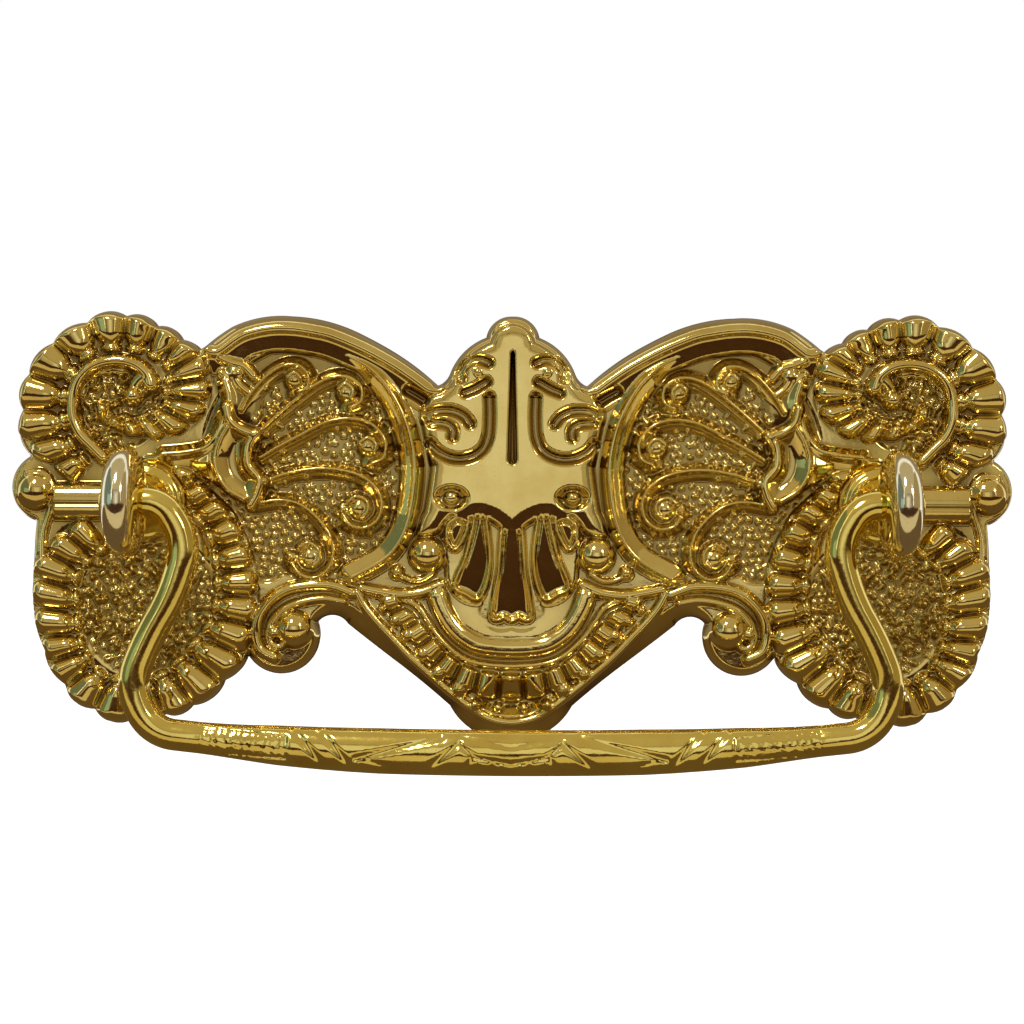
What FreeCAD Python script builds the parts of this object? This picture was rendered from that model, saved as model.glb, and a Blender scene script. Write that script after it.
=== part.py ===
import FreeCAD, Part
import math
import os

# Bail pull: a pressed sheet brass plate with shell and scroll relief, two cast
# eye posts that pass through it with a nut on each, and a swinging bail whose
# ends turn outward as pins in the eyes.
# Millimetres. x runs along the plate, z is up and -y is the front. The plane
# y = 0 is the face of the drawer, and z = 0 is the height of the two posts.
# Heights h are measured forward from the drawer face, so y = -h.

# driving dimensions
post_centres = 76.2
drawn_centres = 76.2
edge_growth = 1.012
edge_growth_z0 = -0.83

sheet = 0.6
field_h = 2.2
shield_h = 3.2
leaf_h = 3.3
palmette_h = 3.0
groove_depth = 0.5
pocket_depth = 0.7
rim_inset = 0.5
shell_inset = 0.9
lobe_inset = 0.9
vee_inset = 2.0
lobe_end_in = 0.9
lobe_foot_h = 0.9
lobe_outer_h = 2.7
lobe_inner_h = 3.5
field_foot_h = 1.9
field_lobe_outer_h = 3.0
field_lobe_inner_h = 3.3
vee_lobe_outer_h = 2.9
vee_lobe_inner_h = 2.8
tendril_end_h = 3.2

seat_r = 4.3
flange_r = 3.9
flange_t = 1.1
flange_chamfer = 0.4
neck_r_low = 3.0
neck_r_high = 2.15
neck_into_eye = 1.2
neck_waist_h = 6.4
eye_h = 12.6
eye_od = 11.0
eye_t = 3.2
eye_chamfer = 1.1
pin_d = 3.0
pin_clearance = 0.07
spigot_d = 5.0
spigot_clearance = 0.15
shank_d = 3.7
shank_plain = 15.0
thread_d = 4.16
thread_chamfer = 0.5
shank_length = 27.0
nut_flats = 8.7
nut_t = 3.2
drawer_front_t = 19.0

arm_d = 3.1
bar_sides = 12
pin_beyond_eye = 0.9
arm_to_eye_gap = 0.3
pin_into_arm = 0.6
pin_chamfer = 0.45
grip_height = 4.75
grip_depth = 3.5

grow = post_centres / drawn_centres
half_centres = post_centres / 2
seat_h = field_h
eye_hole_d = pin_d + 2 * pin_clearance
plate_hole_d = spigot_d + 2 * spigot_clearance
seat_face_h = seat_h + flange_t


def at(x, h, z):
    return FreeCAD.Vector(x * grow, -h, z)


def raw(x, h, z):
    return FreeCAD.Vector(x, -h, z)


# Each edge point is (x, z, how far the front edge of the flange stands in).
# Points are start, middle and end of arcs, from the top of the left half round
# the shell ends to the tip of the vee.
r_in = rim_inset
s_in = shell_inset
l_in = lobe_inset
v_in = vee_inset
left_edge = [
    (0, 19.4, r_in), (-1.7, 18.9, r_in), (-2.75, 17.2, r_in),
    (-5.0, 15.75, r_in), (-6.5, 13.4, r_in), (-7.0, 12.65, r_in), (-7.7, 12.2, r_in),
    (-9.7, 13.9, r_in), (-12.0, 15.5, r_in), (-14.1, 16.7, r_in), (-16.2, 17.75, r_in),
    (-19.4, 18.85, r_in), (-22.8, 19.3, r_in), (-26.1, 19.15, r_in), (-29.0, 18.2, r_in),
    (-30.7, 17.05, r_in), (-32.2, 15.8, s_in),
    (-33.3, 16.6, s_in), (-34.1, 16.8, s_in), (-35.5, 18.1, s_in), (-36.7, 18.2, s_in),
    (-38.5, 19.4, s_in), (-39.9, 19.2, s_in), (-41.9, 19.7, s_in), (-43.9, 18.5, s_in),
    (-46.1, 17.9, s_in), (-47.4, 16.4, s_in), (-49.2, 15.1, s_in), (-49.9, 13.1, s_in),
    (-50.9, 11.3, s_in), (-50.5, 9.4, s_in), (-51.0, 7.4, s_in), (-49.8, 4.7, r_in),
    (-51.7, 1.1, r_in), (-49.15, -2.0, r_in),
    (-49.4, -5.3, s_in), (-49.4, -8.6, s_in), (-49.3, -12.0, s_in), (-48.2, -15.2, s_in),
    (-47.5, -17.4, s_in), (-46.0, -18.9, s_in), (-45.0, -20.7, s_in), (-42.9, -21.4, s_in),
    (-41.1, -22.8, s_in), (-38.9, -22.3, s_in), (-37.3, -22.8, s_in), (-35.7, -21.9, s_in),
    (-34.2, -22.0, s_in), (-32.9, -21.0, s_in), (-30.8, -20.2, s_in), (-29.6, -18.4, s_in),
    (-28.1, -17.4, l_in), (-27.2, -15.8, l_in),
    (-22.2, -17.35, l_in), (-20.0, -12.3, l_in), (-18.6, -11.6, l_in), (-16.9, -12.5, v_in),
    (-14.4, -14.45, v_in), (-12.1, -16.2, v_in), (-9.2, -18.45, v_in), (-6.3, -20.9, v_in),
    (-5.5, -22.1, v_in), (-4.3, -23.2, v_in), (-2.3, -24.3, v_in), (0, -24.6, v_in),
]

# Shell lobes that run out to the edge: outer end x, z, then inner end x, z and
# the lobe's half width at its outer and inner ends.
ear_edge_lobes = [
    (-48.9, 5.2, -45.4, 6.1, 1.0, 0.75), (-50.9, 7.7, -46.2, 8.4, 1.75, 1.1),
    (-50.7, 11.3, -46.1, 10.8, 1.75, 1.1), (-49.2, 15.0, -45.3, 12.9, 1.75, 1.1),
    (-46.0, 18.0, -43.9, 14.8, 1.75, 1.1), (-41.9, 19.5, -41.6, 15.4, 1.8, 1.1),
    (-38.5, 19.2, -39.3, 15.3, 1.6, 1.0), (-35.5, 17.9, -37.4, 14.7, 1.4, 0.9),
    (-33.2, 16.4, -36.2, 13.9, 1.1, 0.8),
]
low_edge_lobes = [
    (-48.8, -6.2, -44.9, -7.9, 1.35, 0.9), (-48.9, -9.2, -44.7, -10.1, 1.45, 0.95),
    (-48.7, -12.2, -44.7, -12.7, 1.45, 0.95), (-48.0, -15.2, -44.2, -14.6, 1.2, 0.9),
    (-47.1, -17.6, -43.6, -15.9, 1.35, 0.85), (-44.7, -20.5, -42.3, -17.5, 1.6, 0.95),
    (-41.2, -22.2, -40.6, -18.0, 1.7, 0.95), (-37.5, -22.4, -38.3, -18.1, 1.6, 0.95),
    (-34.2, -21.6, -36.0, -17.3, 1.45, 0.95), (-30.9, -19.7, -34.1, -15.8, 1.5, 0.95),
]
# Lobes that stay on the field, same order.
ear_field_lobes = [
    (-32.3, 14.2, -36.0, 12.7, 1.0, 0.7), (-32.0, 11.5, -36.3, 11.4, 1.0, 0.7),
    (-32.6, 9.3, -36.6, 10.1, 0.95, 0.6), (-34.4, 7.5, -37.4, 9.2, 0.85, 0.55),
    (-36.9, 7.1, -38.5, 9.0, 0.75, 0.5), (-46.8, 3.0, -44.3, 4.9, 0.8, 0.6),
]
low_field_lobes = [
    (-46.4, -4.0, -43.9, -5.9, 1.0, 0.7), (-28.2, -15.5, -32.2, -12.9, 1.3, 0.85),
    (-27.1, -12.3, -31.3, -10.9, 1.2, 0.85), (-26.6, -9.2, -30.9, -8.6, 1.2, 0.85),
    (-27.0, -6.1, -31.2, -6.3, 1.15, 0.8), (-28.1, -3.1, -31.9, -3.9, 1.1, 0.75),
    (-29.9, -0.6, -33.0, -2.0, 0.95, 0.65),
]
# Lobes of the fluted band in the vee.
vee_lobes = [
    (0, -20.3, 0, -17.4, 0.95, 0.75), (-2.6, -20.1, -2.1, -17.2, 0.95, 0.75),
    (-5.3, -18.2, -4.3, -16.4, 0.85, 0.75), (-7.5, -16.6, -6.4, -15.1, 0.85, 0.7),
    (-9.3, -14.6, -8.2, -13.3, 0.8, 0.65), (-11.1, -12.6, -9.9, -11.5, 0.75, 0.6),
]

# Ridges follow straight runs joined by arcs: half width, width share of the
# flat top, height of the top, then points x, z.
ear_ring = (0.75, 0.4, 3.8, [
    (-43.0, 5.8), (-45.6, 8.4), (-45.4, 13.4), (-41.2, 15.9), (-37.2, 13.4),
    (-37.4, 9.5), (-40.6, 9.0),
])
arch_roll = (0.75, 0.4, 3.0, [
    (-8.6, 11.7), (-16.9, 17.2), (-23.4, 19.0), (-30.3, 16.9), (-31.5, 14.6),
])
medallion_ring = (0.7, 0.4, 3.2, [
    (-29.4, 15.3), (-22.6, 18.5), (-11.6, 13.2), (-9.7, 2.6), (-12.0, -5.8), (-16.9, -7.5),
])
vee_rim = (0.5, 0, 2.7, [(-16.0, -9.9), (-12.9, -13.3), (-3.2, -22.0), (3.2, -22.0)])
scroll_band = (0.6, 0.3, 3.0, [
    (-15.8, -9.1), (-20.2, -8.1), (-26.0, -10.2), (-26.5, -15.3), (-23.9, -15.7),
])
tendrils = [
    (0.5, 0, 3.1, [(-28.0, 9.4), (-26.4, 12.9), (-23.2, 15.3), (-20.9, 12.9), (-22.4, 12.2)]),
    (0.5, 0, 3.1, [(-26.2, 7.5), (-21.5, 11.9), (-16.6, 14.0), (-15.5, 10.9), (-16.9, 10.6)]),
    (0.5, 0, 3.1, [(-26.0, 4.7), (-19.9, 8.1), (-14.2, 9.2), (-13.1, 5.5), (-14.4, 4.6)]),
    (0.5, 0, 3.1, [(-25.2, 2.2), (-18.6, 4.1), (-13.8, 2.2), (-14.1, -2.2), (-17.2, -2.2),
                   (-17.3, -0.6)]),
    (0.5, 0, 3.1, [(-26.6, 0.0), (-21.4, 0.4), (-18.0, -4.3), (-19.8, -7.8), (-22.3, -6.4)]),
]
tendril_ends = [
    (-22.9, 12.5, 0.95), (-17.3, 11.1, 0.95), (-14.9, 5.6, 1.0), (-15.9, -0.4, 1.0),
    (-21.2, -5.3, 1.05),
]
leaf_ridges = [
    (0.4, 0, 3.8, [(-29.5, 9.2), (-28.6, 7.6), (-26.7, 7.0)]),
    (0.4, 0, 3.8, [(-29.3, 7.7), (-31.2, 4.3), (-28.0, 0.8)]),
    (0.35, 0, 3.7, [(-26.9, 6.6), (-27.6, 4.3), (-26.3, 2.3)]),
]
bowl_band = (1.0, 0.4, 3.1, [
    (-8.2, -9.3), (-6.7, -12.6), (-3.0, -15.0), (3.0, -15.0),
])
bowl_lip = (0.5, 0, 3.0, [(-7.6, -8.5), (-11.4, -9.3), (-15.3, -8.9)])

# Smooth domes: x, z, radius and height of the top.
big_domes = [
    (-49.45, 1.1, 2.05, 3.6), (-8.8, -5.3, 1.9, 3.9), (-22.6, -13.1, 2.1, 3.9),
    (-39.5, 11.1, 1.5, 3.7),
]
small_domes = [
    (-11.9, -7.1, 0.75, 3.0), (-24.7, -13.4, 0.85, 3.1), (-28.6, 13.0, 1.1, 3.0),
]
side_bar_half = 1.85
side_bar_h = 3.4
side_bar = [(-47.6, -0.1), (-40.5, -0.1)]

# Raised smooth faces, closed loops of arcs: start, middle, end and so on.
shield_loop = [
    (0, 18.4), (-1.2, 18.0), (-2.2, 16.6), (-4.5, 15.1), (-5.9, 13.0), (-6.7, 11.9),
    (-8.0, 11.2), (-9.3, 10.0), (-9.6, 8.2), (-8.9, 6.1), (-8.8, 3.8), (-9.0, 1.4),
    (-9.3, -0.8), (-9.8, -2.2), (-10.0, -3.4), (-8.8, -3.5), (-7.5, -2.8),
    (-6.4, -1.4), (-5.0, -0.5), (-4.0, -0.1), (-3.0, -0.1), (-1.4, -0.7), (0, -1.8),
]
hollow_loop = [
    (0, 17.6), (-1.2, 17.0), (-2.6, 15.5), (-4.0, 13.8), (-5.6, 11.4), (-8.2, 10.9),
    (-11.0, 13.2), (-16.6, 16.6), (-23.0, 17.9), (-27.9, 17.0), (-32.2, 14.2),
    (-34.6, 15.6), (-37.2, 17.1), (-41.9, 17.7), (-46.0, 15.6), (-48.9, 11.9),
    (-48.9, 7.3), (-48.9, 4.4), (-49.8, 1.1), (-48.6, -1.9), (-47.7, -5.0),
    (-47.9, -9.5), (-46.8, -15.0), (-45.0, -18.2), (-42.3, -20.2), (-38.8, -20.9),
    (-34.9, -20.2), (-31.2, -18.4), (-28.5, -15.2), (-26.0, -15.9), (-23.3, -15.9),
    (-21.8, -14.9), (-21.2, -12.8), (-20.4, -10.9), (-18.2, -10.1), (-15.9, -10.7),
    (-14.0, -12.3), (-9.2, -16.2), (-4.4, -20.4), (-2.7, -21.6), (0, -22.0),
]
shield_hollow_loop = [
    (0, 17.2), (-1.3, 16.0), (-3.0, 14.4), (-4.7, 12.7), (-6.2, 10.8), (-7.6, 9.4),
    (-8.5, 7.8), (-8.0, 5.0), (-7.9, 2.2), (-8.1, 0.4), (-8.6, -1.5), (-7.1, -1.1),
    (-5.4, 0.2), (-3.9, 0.7), (-2.4, 0.6), (-1.2, 0.0), (0, -0.9),
]
leaf_loop = [
    (-29.3, 10.0), (-28.6, 8.3), (-26.5, 7.0), (-27.1, 4.8), (-25.6, 2.4),
    (-26.4, 1.2), (-27.2, -0.5), (-29.4, 1.2), (-31.8, 2.2), (-33.9, 2.7),
    (-36.0, 3.4), (-36.1, 4.4), (-35.8, 5.3), (-33.4, 5.5), (-31.4, 6.2),
    (-30.3, 7.9), (-29.3, 10.0),
]
palmette_loop = [
    (0, -0.6), (-0.9, -1.0), (-1.8, -1.2), (-3.6, -0.8), (-5.0, -1.0), (-6.4, -1.7),
    (-7.2, -3.0), (-6.9, -5.4), (-6.7, -7.9), (-5.4, -9.9), (-3.2, -10.5),
    (-3.2, -11.7), (-2.4, -12.7), (-1.3, -13.1), (0, -12.9),
]
petal_pockets = [
    [(0.85, -2.6), (0, -1.9), (-0.85, -2.6), (-1.25, -7.0), (-1.9, -11.4), (-1.4, -12.1),
     (-0.8, -11.8), (0, -12.2), (0.8, -11.8), (1.4, -12.1), (1.9, -11.4), (1.25, -7.0),
     (0.85, -2.6)],
    [(-3.1, -1.9), (-3.8, -1.7), (-3.9, -2.6), (-4.7, -5.6), (-5.7, -8.4), (-4.7, -9.3),
     (-3.2, -9.5), (-2.5, -6.0), (-3.1, -1.9)],
    [(-4.6, -1.9), (-5.6, -1.7), (-6.4, -2.3), (-6.5, -3.6), (-5.9, -4.6), (-5.1, -3.4),
     (-4.6, -1.9)],
]
dimple = (-6.2, 0.6, 0.55, 1.15)
dimple_bead_r = 0.6
slot_loop = [
    (0.45, 14.6), (0.45, 9.0), (0.45, 4.5), (0, 4.05), (-0.45, 4.5), (-0.45, 9.0),
    (-0.45, 14.6), (-0.25, 15.7), (0, 16.5), (0.25, 15.7), (0.45, 14.6),
]
groove_r = 0.45
grooves = [
    [(-2.45, 11.2), (-2.4, 7.2), (-3.6, 5.0), (-5.8, 4.6), (-8.1, 5.9)],
    [(-8.6, 9.0), (-6.8, 9.6), (-4.6, 8.7)],
    [(-8.3, 8.1), (-6.6, 8.2), (-6.0, 7.0)],
    [(-5.2, 13.0), (-4.4, 14.6), (-2.6, 14.7)],
]

# The bail's centre line round one arm to the grip, right half. It starts just
# inside the eye, where the pin leaves the arm.
arm_start = (half_centres - eye_t / 2 - arm_to_eye_gap) / grow
bail_line = [
    (arm_start, 0.0), (34.4, 0.0), (32.0, -4.0), (33.4, -9.2), (35.9, -13.6), (37.6, -18.0),
    (35.6, -22.7), (30.6, -23.25),
]
grip_sections = [
    (30.6, -23.25, 0.0), (23.0, -23.95, 0.55), (13.0, -24.45, 0.92), (0.0, -24.6, 1.0),
    (-13.0, -24.45, 0.92), (-23.0, -23.95, 0.55), (-30.6, -23.25, 0.0),
]


def arc_edges(points):
    edges = []
    for i in range(0, len(points) - 2, 2):
        a = points[i]
        m = points[i + 1]
        b = points[i + 2]
        bend = (m - a).cross(b - m).Length
        if bend < 1e-4 * (b - a).Length ** 2:
            edges.append(Part.LineSegment(a, b).toShape())
        else:
            edges.append(Part.Arc(a, m, b).toShape())
    return edges


def left_normal(a, b):
    d = math.hypot(b[0] - a[0], b[1] - a[1])
    return (-(b[1] - a[1]) / d, (b[0] - a[0]) / d)


def moved_in(points, insets, ends_on_axis):
    # Each point moves square to the line between its neighbours.
    out = []
    last = len(points) - 1
    for i in range(len(points)):
        if i % 2 == 1:
            n = left_normal(points[i - 1], points[i + 1])
            out.append((points[i][0] + n[0] * insets[i], points[i][1] + n[1] * insets[i]))
            continue
        before = points[i - 1] if i > 0 else None
        after = points[i + 1] if i < last else None
        if ends_on_axis and i == 0:
            out.append((0.0, points[i][1] - insets[i]))
            continue
        if ends_on_axis and i == last:
            out.append((0.0, points[i][1] + insets[i]))
            continue
        if before is None:
            before = points[last - 1]
        if after is None:
            after = points[1]
        n1 = left_normal(before, points[i])
        n2 = left_normal(points[i], after)
        nx = n1[0] + n2[0]
        nz = n1[1] + n2[1]
        size = math.hypot(nx, nz)
        stretch = min(1.3, 2.0 / max(size, 0.2))
        move = insets[i] * stretch / size
        out.append((points[i][0] + nx * move, points[i][1] + nz * move))
    return out


def drafted(points, insets, low_h, high_h, half):
    # A solid between one loop of arcs and the same loop moved in at the front.
    back = [at(p[0], low_h, p[1]) for p in points]
    inner = moved_in(points, insets, half)
    front = [at(p[0], high_h, p[1]) for p in inner]
    low_edges = arc_edges(back)
    high_edges = []
    for i, edge in enumerate(low_edges):
        a = front[2 * i]
        m = front[2 * i + 1]
        b = front[2 * i + 2]
        if edge.Curve.TypeId == "Part::GeomLine":
            high_edges.append(Part.LineSegment(a, b).toShape())
        else:
            high_edges.append(Part.Arc(a, m, b).toShape())
    if half:
        low_edges.append(Part.LineSegment(back[-1], back[0]).toShape())
        high_edges.append(Part.LineSegment(front[-1], front[0]).toShape())
    faces = []
    for low, high in zip(low_edges, high_edges):
        faces.append(Part.makeRuledSurface(low, high))
    faces.append(Part.Face(Part.Wire(low_edges)))
    faces.append(Part.Face(Part.Wire(high_edges)))
    shell = Part.makeShell(faces)
    shell.sewShape()
    solid = Part.Solid(shell)
    if solid.Volume < 0:
        solid.reverse()
    return solid


def prism(loop, low_h, high_h, half):
    points = [at(p[0], low_h, p[1]) for p in loop]
    edges = arc_edges(points)
    if half:
        edges.append(Part.LineSegment(points[-1], points[0]).toShape())
    face = Part.Face(Part.Wire(edges))
    return face.extrude(FreeCAD.Vector(0, low_h - high_h, 0))


def rounded_path(points):
    # Straight runs joined by arcs tangent to both, as large as the runs allow.
    edges = []
    start = points[0]
    for i in range(1, len(points) - 1):
        a = points[i - 1]
        p = points[i]
        b = points[i + 1]
        u = (a - p).normalize()
        v = (b - p).normalize()
        cos_turn = -(u.x * v.x + u.y * v.y + u.z * v.z)
        turn = math.acos(max(-1.0, min(1.0, cos_turn)))
        run_a = (a - p).Length * (0.96 if i == 1 else 0.48)
        run_b = (b - p).Length * (0.96 if i == len(points) - 2 else 0.48)
        reach = min(run_a, run_b)
        if turn < 0.02:
            continue
        t1 = p + u * reach
        t2 = p + v * reach
        radius = reach / math.tan(turn / 2)
        to_centre = (u + v).normalize()
        middle_gap = radius / math.cos(turn / 2) - radius
        middle = p + to_centre * middle_gap
        if (t1 - start).Length > 1e-3:
            edges.append(Part.LineSegment(start, t1).toShape())
        edges.append(Part.Arc(t1, middle, t2).toShape())
        start = t2
    if (points[-1] - start).Length > 1e-3:
        edges.append(Part.LineSegment(start, points[-1]).toShape())
    return Part.Wire(edges)


def swept(points, section):
    # The section is given as (sideways, forward) pairs about the path's start.
    path = rounded_path(points)
    heading = (points[1] - points[0]).normalize()
    sideways = FreeCAD.Vector(-heading.z, 0, heading.x)
    forward = FreeCAD.Vector(0, -1, 0)
    corners = [points[0] + sideways * u + forward * v for u, v in section]
    corners.append(corners[0])
    return path.makePipe(Part.Face(Part.makePolygon(corners)))


def ridge(spec, foot_h):
    half, top_share, top_h, line = spec
    rise = top_h - foot_h
    section = [(-half, -0.3), (-half, 0)]
    if top_share > 0:
        section += [(-half * top_share, rise), (half * top_share, rise)]
    else:
        section.append((0, rise))
    section += [(half, 0), (half, -0.3)]
    return swept([at(x, foot_h, z) for x, z in line], section)


def skinned(sections):
    # A closed solid over a row of like sections, each a list of corners.
    faces = [Part.Face(Part.makePolygon(sections[0] + sections[0][:1]))]
    count = len(sections[0])
    for near, far in zip(sections, sections[1:]):
        for i in range(count):
            j = (i + 1) % count
            faces.append(Part.Face(Part.makePolygon([near[i], near[j], far[j], near[i]])))
            faces.append(Part.Face(Part.makePolygon([near[i], far[j], far[i], near[i]])))
    faces.append(Part.Face(Part.makePolygon(sections[-1] + sections[-1][:1])))
    shell = Part.makeShell(faces)
    shell.sewShape()
    solid = Part.Solid(shell)
    if solid.Volume < 0:
        solid.reverse()
    return solid


def lobe(spec, foot_h, outer_top, inner_top, thinner):
    # A flute of a shell: a crest with two shoulders that widens outward.
    xo, zo, xi, zi, ro, ri = spec
    length = math.hypot(xo - xi, zo - zi)
    ux = (xo - xi) / length
    uz = (zo - zi) / length
    sections = []
    ends = ((xo - ux * lobe_end_in, zo - uz * lobe_end_in, ro, outer_top), (xi, zi, ri, inner_top))
    for x, z, half, top in ends:
        w = half - thinner * 0.8
        low = field_h - 0.05 - thinner
        rise = top - thinner - low
        corners = []
        profile = [(-w, foot_h), (-w, low), (-0.62 * w, low + 0.72 * rise), (0, low + rise)]
        profile += [(0.62 * w, low + 0.72 * rise), (w, low), (w, foot_h)]
        for u, h in profile:
            corners.append(at(x - uz * u, h, z + ux * u))
        sections.append(corners)
    return skinned(sections)


def dome(spec, sides, rings, foot_h, thinner):
    x, z, radius, top = spec
    r = radius - thinner
    base_h = min(field_h - 0.4, top - radius * 0.6)
    rise = top - thinner - base_h
    steps = [(r, foot_h - base_h)]
    for k in range(rings):
        a = math.pi / 2 * k / rings
        steps.append((r * math.cos(a), rise * math.sin(a)))
    steps.append((r * 0.12, rise))
    sections = []
    for size, up in steps:
        ring = []
        for i in range(sides):
            a = 2 * math.pi * (i + 0.5) / sides
            ring.append(raw(x * grow + size * math.cos(a), base_h + up, z + size * math.sin(a)))
        sections.append(ring)
    return skinned(sections)


def edge_points():
    grown = []
    for x, z, inset in left_edge:
        gz = edge_growth_z0 + (z - edge_growth_z0) * edge_growth
        grown.append((x * edge_growth, gz))
    return grown


def half_space(front_h):
    return Part.makeBox(90, front_h + 4, 90, FreeCAD.Vector(-90, -front_h, -45))


def join(base, tools):
    for tool in tools:
        base = base.fuse(tool)
    return base


def take_away(base, tools):
    for tool in tools:
        base = base.cut(tool)
    return base


def shell_lobes(thinner):
    # The same lobes for the front and, thinner by the sheet, for the hollow.
    tools = []
    for spec in ear_edge_lobes + low_edge_lobes:
        tools.append(lobe(spec, lobe_foot_h - thinner, lobe_outer_h, lobe_inner_h, thinner))
    if thinner == 0:
        for spec in ear_field_lobes + low_field_lobes:
            tools.append(lobe(spec, field_foot_h, field_lobe_outer_h, field_lobe_inner_h, 0))
    return tools


def side_bar_solid(thinner):
    half = side_bar_half - thinner
    rise = side_bar_h - thinner - field_h
    start = [at(x, field_h, z) for x, z in side_bar]
    section = [(-half, -1.4), (-half, -0.3), (-half * 0.6, rise * 0.7), (0, rise)]
    section += [(half * 0.6, rise * 0.7), (half, -0.3), (half, -1.4)]
    return swept(start, section)


def smooth_relief(thinner):
    tools = [side_bar_solid(thinner)]
    for spec in big_domes:
        tools.append(dome(spec, 12, 3, 1.2 - thinner, thinner))
    leaf = leaf_loop
    if thinner > 0:
        leaf = moved_in(leaf_loop, [thinner] * len(leaf_loop), False)
    tools.append(prism(leaf, 1.0, leaf_h - thinner, False))
    return tools


def front_relief():
    tools = []
    for spec in vee_lobes:
        tools.append(lobe(spec, field_foot_h, vee_lobe_outer_h, vee_lobe_inner_h, 0))
    for spec in [ear_ring, arch_roll, medallion_ring, vee_rim, scroll_band, bowl_band, bowl_lip]:
        tools.append(ridge(spec, field_h))
    for spec in tendrils:
        tools.append(ridge(spec, field_h))
    for spec in leaf_ridges:
        tools.append(ridge(spec, leaf_h))
    for x, z, radius in tendril_ends:
        tools.append(dome((x, z, radius, tendril_end_h), 8, 2, field_foot_h, 0))
    for spec in small_domes:
        tools.append(dome(spec, 8, 2, field_foot_h, 0))
    return tools


def shield():
    return prism(shield_loop, 1.0, shield_h, True)


def shield_grooves(wider):
    # Grooves pressed into the shield. The hollow stays clear of them.
    floor_h = shield_h - groove_depth - wider
    spread = 1 + wider / groove_r
    slot = [(x * spread, z) for x, z in slot_loop]
    tools = [prism(slot, floor_h, shield_h + 1, False)]
    half = groove_r + wider
    deep = groove_depth + wider
    section = [(-half, 0.4), (-half, 0), (-half * 0.4, -deep), (half * 0.4, -deep), (half, 0), (half, 0.4)]
    for line in grooves:
        points = [at(x, shield_h, z) for x, z in line]
        tools.append(swept(points, section))
    x, z, reach, radius = dimple
    r = radius + wider
    oval = [(x - reach, z - r), (x, z - r), (x + reach, z - r), (x + reach + r, z), (x + reach, z + r)]
    oval += [(x, z + r), (x - reach, z + r), (x - reach - r, z), (x - reach, z - r)]
    tools.append(prism(oval, floor_h, shield_h + 1, False))
    return tools


def half_plate():
    insets = [p[2] for p in left_edge]
    outline = edge_points()
    outer = drafted(outline, insets, 0.0, field_h, True)
    raised = [shield(), prism(palmette_loop, 1.2, palmette_h, True)]
    outer = join(outer, raised + shell_lobes(0) + smooth_relief(0) + front_relief())
    outer = outer.common(half_space(8))
    cuts = shield_grooves(0)
    for loop in petal_pockets:
        cuts.append(prism(loop, palmette_h - pocket_depth, palmette_h + 1, False))
    forward = FreeCAD.Vector(0, -1, 0)
    cuts.append(Part.makeCylinder(seat_r, 6, raw(-half_centres, seat_h, 0), forward))
    cuts.append(Part.makeCylinder(plate_hole_d / 2, 8, raw(-half_centres, -1, 0), forward))
    outer = take_away(outer, cuts)
    bead_h = shield_h - groove_depth
    bead = (dimple[0], dimple[1], dimple_bead_r, bead_h + dimple_bead_r)
    outer = join(outer, [dome(bead, 8, 2, 2.0, 0)])
    return outer.cut(half_hollow())


def half_hollow():
    hollow = prism(hollow_loop, -1.0, field_h - sheet, True)
    raised = prism(shield_hollow_loop, 1.0, shield_h - sheet, True)
    raised = take_away(raised, shield_grooves(sheet))
    hollow = join(hollow, shell_lobes(sheet) + smooth_relief(sheet) + [raised])
    hollow = hollow.common(prism(hollow_loop, -1.0, 4.5, True))
    seat_front = raw(-half_centres, seat_h - sheet, 0)
    seat_keep = Part.makeCylinder(seat_r + sheet, 6, seat_front, FreeCAD.Vector(0, -1, 0))
    return hollow.cut(seat_keep)


def backplate():
    left = half_plate()
    right = left.mirror(FreeCAD.Vector(0, 0, 0), FreeCAD.Vector(1, 0, 0))
    plate = left.fuse(right)
    return plate.removeSplitter().Solids[0]


def post(side):
    x = side * half_centres
    forward = FreeCAD.Vector(0, -1, 0)
    back = FreeCAD.Vector(0, 1, 0)
    base = Part.makeCylinder(flange_r, flange_t, raw(x, seat_h, 0), forward)
    rim = [e for e in base.Edges if abs(e.CenterOfMass.y + seat_face_h) < 1e-6]
    base = base.makeChamfer(flange_chamfer, rim[:1])
    low = seat_face_h
    top = eye_h - eye_od / 2 + neck_into_eye
    flare = neck_waist_h - low
    neck = Part.makeCone(neck_r_low, neck_r_high, flare, raw(x, low, 0), forward)
    stem = Part.makeCylinder(neck_r_high, top - neck_waist_h, raw(x, neck_waist_h, 0), forward)
    eye_start = raw(x - eye_t / 2, eye_h, 0)
    along = FreeCAD.Vector(1, 0, 0)
    eye = Part.makeCylinder(eye_od / 2, eye_t, eye_start, along)
    rims = [e for e in eye.Edges if e.Curve.TypeId == "Part::GeomCircle"]
    eye = eye.makeChamfer(eye_chamfer, rims)
    spigot = Part.makeCylinder(spigot_d / 2, seat_h, raw(x, seat_h, 0), back)
    shank = Part.makeCylinder(shank_d / 2, shank_plain, raw(x, 0, 0), back)
    thread_l = shank_length - shank_plain
    thread = Part.makeCylinder(thread_d / 2, thread_l, raw(x, -shank_plain, 0), back)
    tip = [e for e in thread.Edges if abs(e.CenterOfMass.y - shank_length) < 1e-6]
    thread = thread.makeChamfer(thread_chamfer, tip[:1])
    solid = base.multiFuse([neck, stem, eye, spigot, shank, thread])
    hole = Part.makeCylinder(eye_hole_d / 2, eye_t + 4, raw(x - eye_t / 2 - 2, eye_h, 0), along)
    return solid.cut(hole).removeSplitter().Solids[0]


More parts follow.
